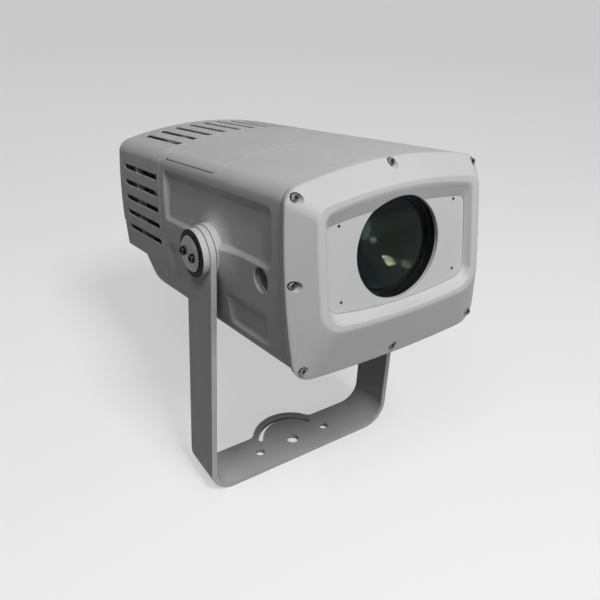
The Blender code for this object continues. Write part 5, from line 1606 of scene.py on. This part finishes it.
# Lamps of the stage: name, direction and share of the key's power
LAMPS = (
    ("key", (-0.06, -0.6, 0.8), 1.0),
    ("side", (-0.45, -0.35, 0.82), 0.22),
    ("front", (0.15, -0.97, 0.17), 0.25),
)
LAMP_REACH = 2.2
LAMP_SIZE = 0.6
LAMP_AIM = Vector((0, 0, 0.3))
BACKDROP = (0.93, 0.93, 0.93, 1.0)
FLOOR_GLOW = 0.5
PICTURE_WIDTH = 600
SENSOR = 36.0


# Operators

class BuildOperator:
    """What the operators share."""

    bl_options = {"REGISTER", "UNDO"}


class PROJECTOR_OT_yoke(BuildOperator, bpy.types.Operator):
    """Build the yoke bracket and its collars"""

    bl_idname = "projector.yoke"
    bl_label = "Yoke"

    def execute(self, context):
        edge = context.scene.projector_edges.bar
        finish(yoke_bracket(edge), "powder_coat", ["yoke_bracket"], "yoke")
        collars = both_sides("pivot_collars", pivot_collar)
        finish(collars, "powder_coat", left_and_right("pivot_collar"), "yoke")
        return {"FINISHED"}


class PROJECTOR_OT_pivots(BuildOperator, bpy.types.Operator):
    """Build the washers, clamp discs and their screws"""

    bl_idname = "projector.pivots"
    bl_label = "Pivots"

    def execute(self, context):
        washers = both_sides("friction_washers", friction_washer)
        finish(washers, "rubber", left_and_right("friction_washer"))
        discs = both_sides("clamp_discs", clamp_disc)
        finish(discs, "stainless", left_and_right("clamp_disc"))
        screws = both_sides("clamp_screws", clamp_screws)
        pairs = left_and_right("clamp_screw")
        nodes = [f"{name}_{way}" for name in pairs for way in ("front", "rear")]
        finish(screws, "black_oxide", nodes)
        return {"FINISHED"}


class PROJECTOR_OT_housing(BuildOperator, bpy.types.Operator):
    """Build the main housing and its blanking plugs"""

    bl_idname = "projector.housing"
    bl_label = "Housing"

    def execute(self, context):
        edges = context.scene.projector_edges
        made = main_housing(edges.casting, edges.rear_seam)
        finish(made, "powder_coat", ["main_housing"], angle=50)
        plugs = both_sides("blanking_plugs", blanking_plug)
        finish(plugs, "black_plastic", left_and_right("blanking_plug"))
        return {"FINISHED"}


class PROJECTOR_OT_top_cover(BuildOperator, bpy.types.Operator):
    """Build the top access cover"""

    bl_idname = "projector.top_cover"
    bl_label = "Top cover"

    def execute(self, context):
        finish(top_cover(), "powder_coat", ["top_cover"], "cover", angle=50)
        return {"FINISHED"}


class PROJECTOR_OT_bezel(BuildOperator, bpy.types.Operator):
    """Build the front bezel with its plate and screws"""

    bl_idname = "projector.bezel"
    bl_label = "Bezel"

    def execute(self, context):
        edge = context.scene.projector_edges.casting
        finish(front_bezel(edge), "powder_coat", ["front_bezel"], angle=50)
        finish(lens_plate(), "powder_coat", ["lens_plate"])
        screw = cap_screw("Y", (0, 0), SCREW_SEAT_Y - GAP, -1, SCREW_HEAD, SCREW_SOCKET)
        places = [(x, 0, z) for x, z in screw_places()]
        screws = scattered("bezel_screws", places, screw, coat_of("dark_steel"))
        finish(screws, "dark_steel", [f"bezel_screw_{i + 1}" for i in range(len(places))])
        seat = PLATE_Y + 0.1
        tiny = cap_screw("Y", (0, 0), seat, -1, PLATE_SCREW_HEAD, PLATE_SCREW_SOCKET, 20)
        places = [(side * x, 0, z) for x, z in PLATE_SCREWS for side in (-1, 1)]
        finish(scattered("plate_screws", places, tiny, coat_of("black_oxide")), "black_oxide")
        return {"FINISHED"}


class PROJECTOR_OT_lens(BuildOperator, bpy.types.Operator):
    """Build the barrel, the front lens with its ring and the element behind it"""

    bl_idname = "projector.lens"
    bl_label = "Lens"

    def execute(self, context):
        finish(lens_barrel(), "anodised", ["lens_barrel"], look="flat_black")
        finish(front_element(), "coated_glass", ["front_lens"])
        finish(lens_ring(), "powder_coat")
        # The element behind the front glass is opaque near black: painted shade of the lens's depth
        finish(second_element(), "coated_glass", look="inner_lens")
        return {"FINISHED"}


class PROJECTOR_OT_rear_cover(BuildOperator, bpy.types.Operator):
    """Build the vented rear cover and the cable gland"""

    bl_idname = "projector.rear_cover"
    bl_label = "Rear cover"

    def execute(self, context):
        made = rear_cover(context.scene.projector_vents, context.scene.projector_edges.rear_seam)
        finish(made, "powder_coat", ["rear_cover"], angle=45)
        finish(cable_gland(), "black_plastic", ["cable_gland"])
        return {"FINISHED"}


class PROJECTOR_OT_inner_works(BuildOperator, bpy.types.Operator):
    """Give the pieces inside the head their finishes"""

    bl_idname = "projector.inner_works"
    bl_label = "Inner works"

    def execute(self, context):
        for part in frame["record"]["subparts"]:
            node = frame["nodes"][part["node"]]
            if node.hide_render:
                continue
            node.data.materials.clear()
            node.data.materials.append(coat_of(part["material_slot"]))
        return {"FINISHED"}


class PROJECTOR_OT_stage(BuildOperator, bpy.types.Operator):
    """Set up the camera, the lamps and the floor"""

    bl_idname = "projector.stage"
    bl_label = "Stage"

    def execute(self, context):
        stage = context.scene.projector_stage
        add_camera(context, stage)
        add_floor(stage)
        add_world(context, stage)
        for name, way, share in LAMPS:
            add_lamp(name, Vector(way).normalized(), stage.key * share)
        context.scene.view_settings.view_transform = "Standard"
        return {"FINISHED"}


def add_camera(context, stage):
    """The camera at the photograph's viewing angle."""
    data = bpy.data.cameras.new("camera")
    data.sensor_width = SENSOR
    data.lens = SENSOR * stage.focal_pixels / PICTURE_WIDTH
    data.shift_y = -stage.rise_pixels / PICTURE_WIDTH
    data.clip_start = 0.01
    camera = bpy.data.objects.new("camera", data)
    context.scene.collection.objects.link(camera)
    turn = Matrix.Rotation(-stage.yaw, 3, "Z")
    turn @= Matrix.Rotation(math.pi / 2 - stage.pitch, 3, "X")
    turn @= Matrix.Rotation(stage.roll, 3, "Z")
    camera.matrix_world = Matrix.Translation(stage.position) @ turn.to_4x4()
    context.scene.camera = camera


def seen_directly(nodes, links):
    """One for the camera and for what metal and glass show, nought for scattered light."""
    path = nodes.new("ShaderNodeLightPath")
    share = path.outputs["Is Camera Ray"]
    for ray in ("Is Glossy Ray", "Is Transmission Ray"):
        either = nodes.new("ShaderNodeMath")
        either.operation = "MAXIMUM"
        links.new(share, either.inputs[0])
        links.new(path.outputs[ray], either.inputs[1])
        share = either.outputs["Value"]
    return share


def add_floor(stage):
    """A wide pale floor that sends little light back at the object."""
    bm = bmesh.new()
    bmesh.ops.create_grid(bm, x_segments=1, y_segments=1, size=30.0)
    floor = solid("floor", bm)
    coat = Coat("floor", tuple(stage.floor_colour), 0.9)
    seen = seen_directly(coat.nodes, coat.material.node_tree.links)
    coat.tinted(seen, shade(stage.floor_colour, stage.bounce), shade(stage.floor_colour, 0.5))
    coat.shader.inputs["Emission Color"].default_value = (1, 1, 1, 1)
    coat.link(coat.math("MULTIPLY", seen, FLOOR_GLOW), coat.shader.inputs["Emission Strength"])
    floor.data.materials.append(coat.material)


def add_world(context, stage):
    """Pale surroundings: plain white to the camera and in reflections, softer as light."""
    world = bpy.data.worlds.new("surroundings")
    world.use_nodes = True
    nodes = world.node_tree.nodes
    links = world.node_tree.links
    light = nodes["Background"]
    light.inputs["Color"].default_value = (1, 1, 1, 1)
    light.inputs["Strength"].default_value = stage.fill
    seen = nodes.new("ShaderNodeBackground")
    seen.inputs["Color"].default_value = BACKDROP
    mix = nodes.new("ShaderNodeMixShader")
    links.new(seen_directly(nodes, links), mix.inputs["Fac"])
    links.new(light.outputs["Background"], mix.inputs[1])
    links.new(seen.outputs["Background"], mix.inputs[2])
    links.new(mix.outputs["Shader"], nodes["World Output"].inputs["Surface"])
    context.scene.world = world


def add_lamp(name, way, power):
    """A square soft lamp that points at the head from a direction."""
    data = bpy.data.lights.new(name, "AREA")
    data.shape = "SQUARE"
    data.size = LAMP_SIZE
    data.energy = power
    lamp = bpy.data.objects.new(name, data)
    bpy.context.scene.collection.objects.link(lamp)
    lamp.location = LAMP_AIM + way * LAMP_REACH
    lamp.rotation_mode = "QUATERNION"
    lamp.rotation_quaternion = (LAMP_AIM - lamp.location).to_track_quat("-Z", "Y")


class PROJECTOR_PT_pieces(bpy.types.Panel):
    """The pieces of the projector and their settings"""

    bl_label = "Projector"
    bl_idname = "PROJECTOR_PT_pieces"
    bl_space_type = "VIEW_3D"
    bl_region_type = "UI"
    bl_category = "Projector"

    def draw(self, context):
        for operator in OPERATORS:
            self.layout.operator(operator.bl_idname)
        for name in SETTINGS:
            group = getattr(context.scene, name)
            for prop in group.bl_rna.properties:
                if prop.identifier not in ("rna_type", "name"):
                    self.layout.prop(group, prop.identifier)


OPERATORS = (
    PROJECTOR_OT_stage,
    PROJECTOR_OT_yoke,
    PROJECTOR_OT_pivots,
    PROJECTOR_OT_housing,
    PROJECTOR_OT_top_cover,
    PROJECTOR_OT_bezel,
    PROJECTOR_OT_lens,
    PROJECTOR_OT_rear_cover,
    PROJECTOR_OT_inner_works,
)
SETTINGS = {
    "projector_coat": CoatSettings,
    "projector_edges": EdgeSettings,
    "projector_vents": VentSettings,
    "projector_stage": StageSettings,
}


def register():
    """Register the settings, the operators and the panel."""
    for name, group in SETTINGS.items():
        bpy.utils.register_class(group)
        setattr(bpy.types.Scene, name, PointerProperty(type=group))
    for operator in OPERATORS:
        bpy.utils.register_class(operator)
    bpy.utils.register_class(PROJECTOR_PT_pieces)


def unregister():
    """Take everything off again."""
    bpy.utils.unregister_class(PROJECTOR_PT_pieces)
    for operator in reversed(OPERATORS):
        bpy.utils.unregister_class(operator)
    for name, group in SETTINGS.items():
        delattr(bpy.types.Scene, name)
        bpy.utils.unregister_class(group)


def main():
    """Build every piece."""
    register()
    for operator in OPERATORS:
        group, name = operator.bl_idname.split(".")
        getattr(getattr(bpy.ops, group), name)()


if __name__ == "__main__":
    main()
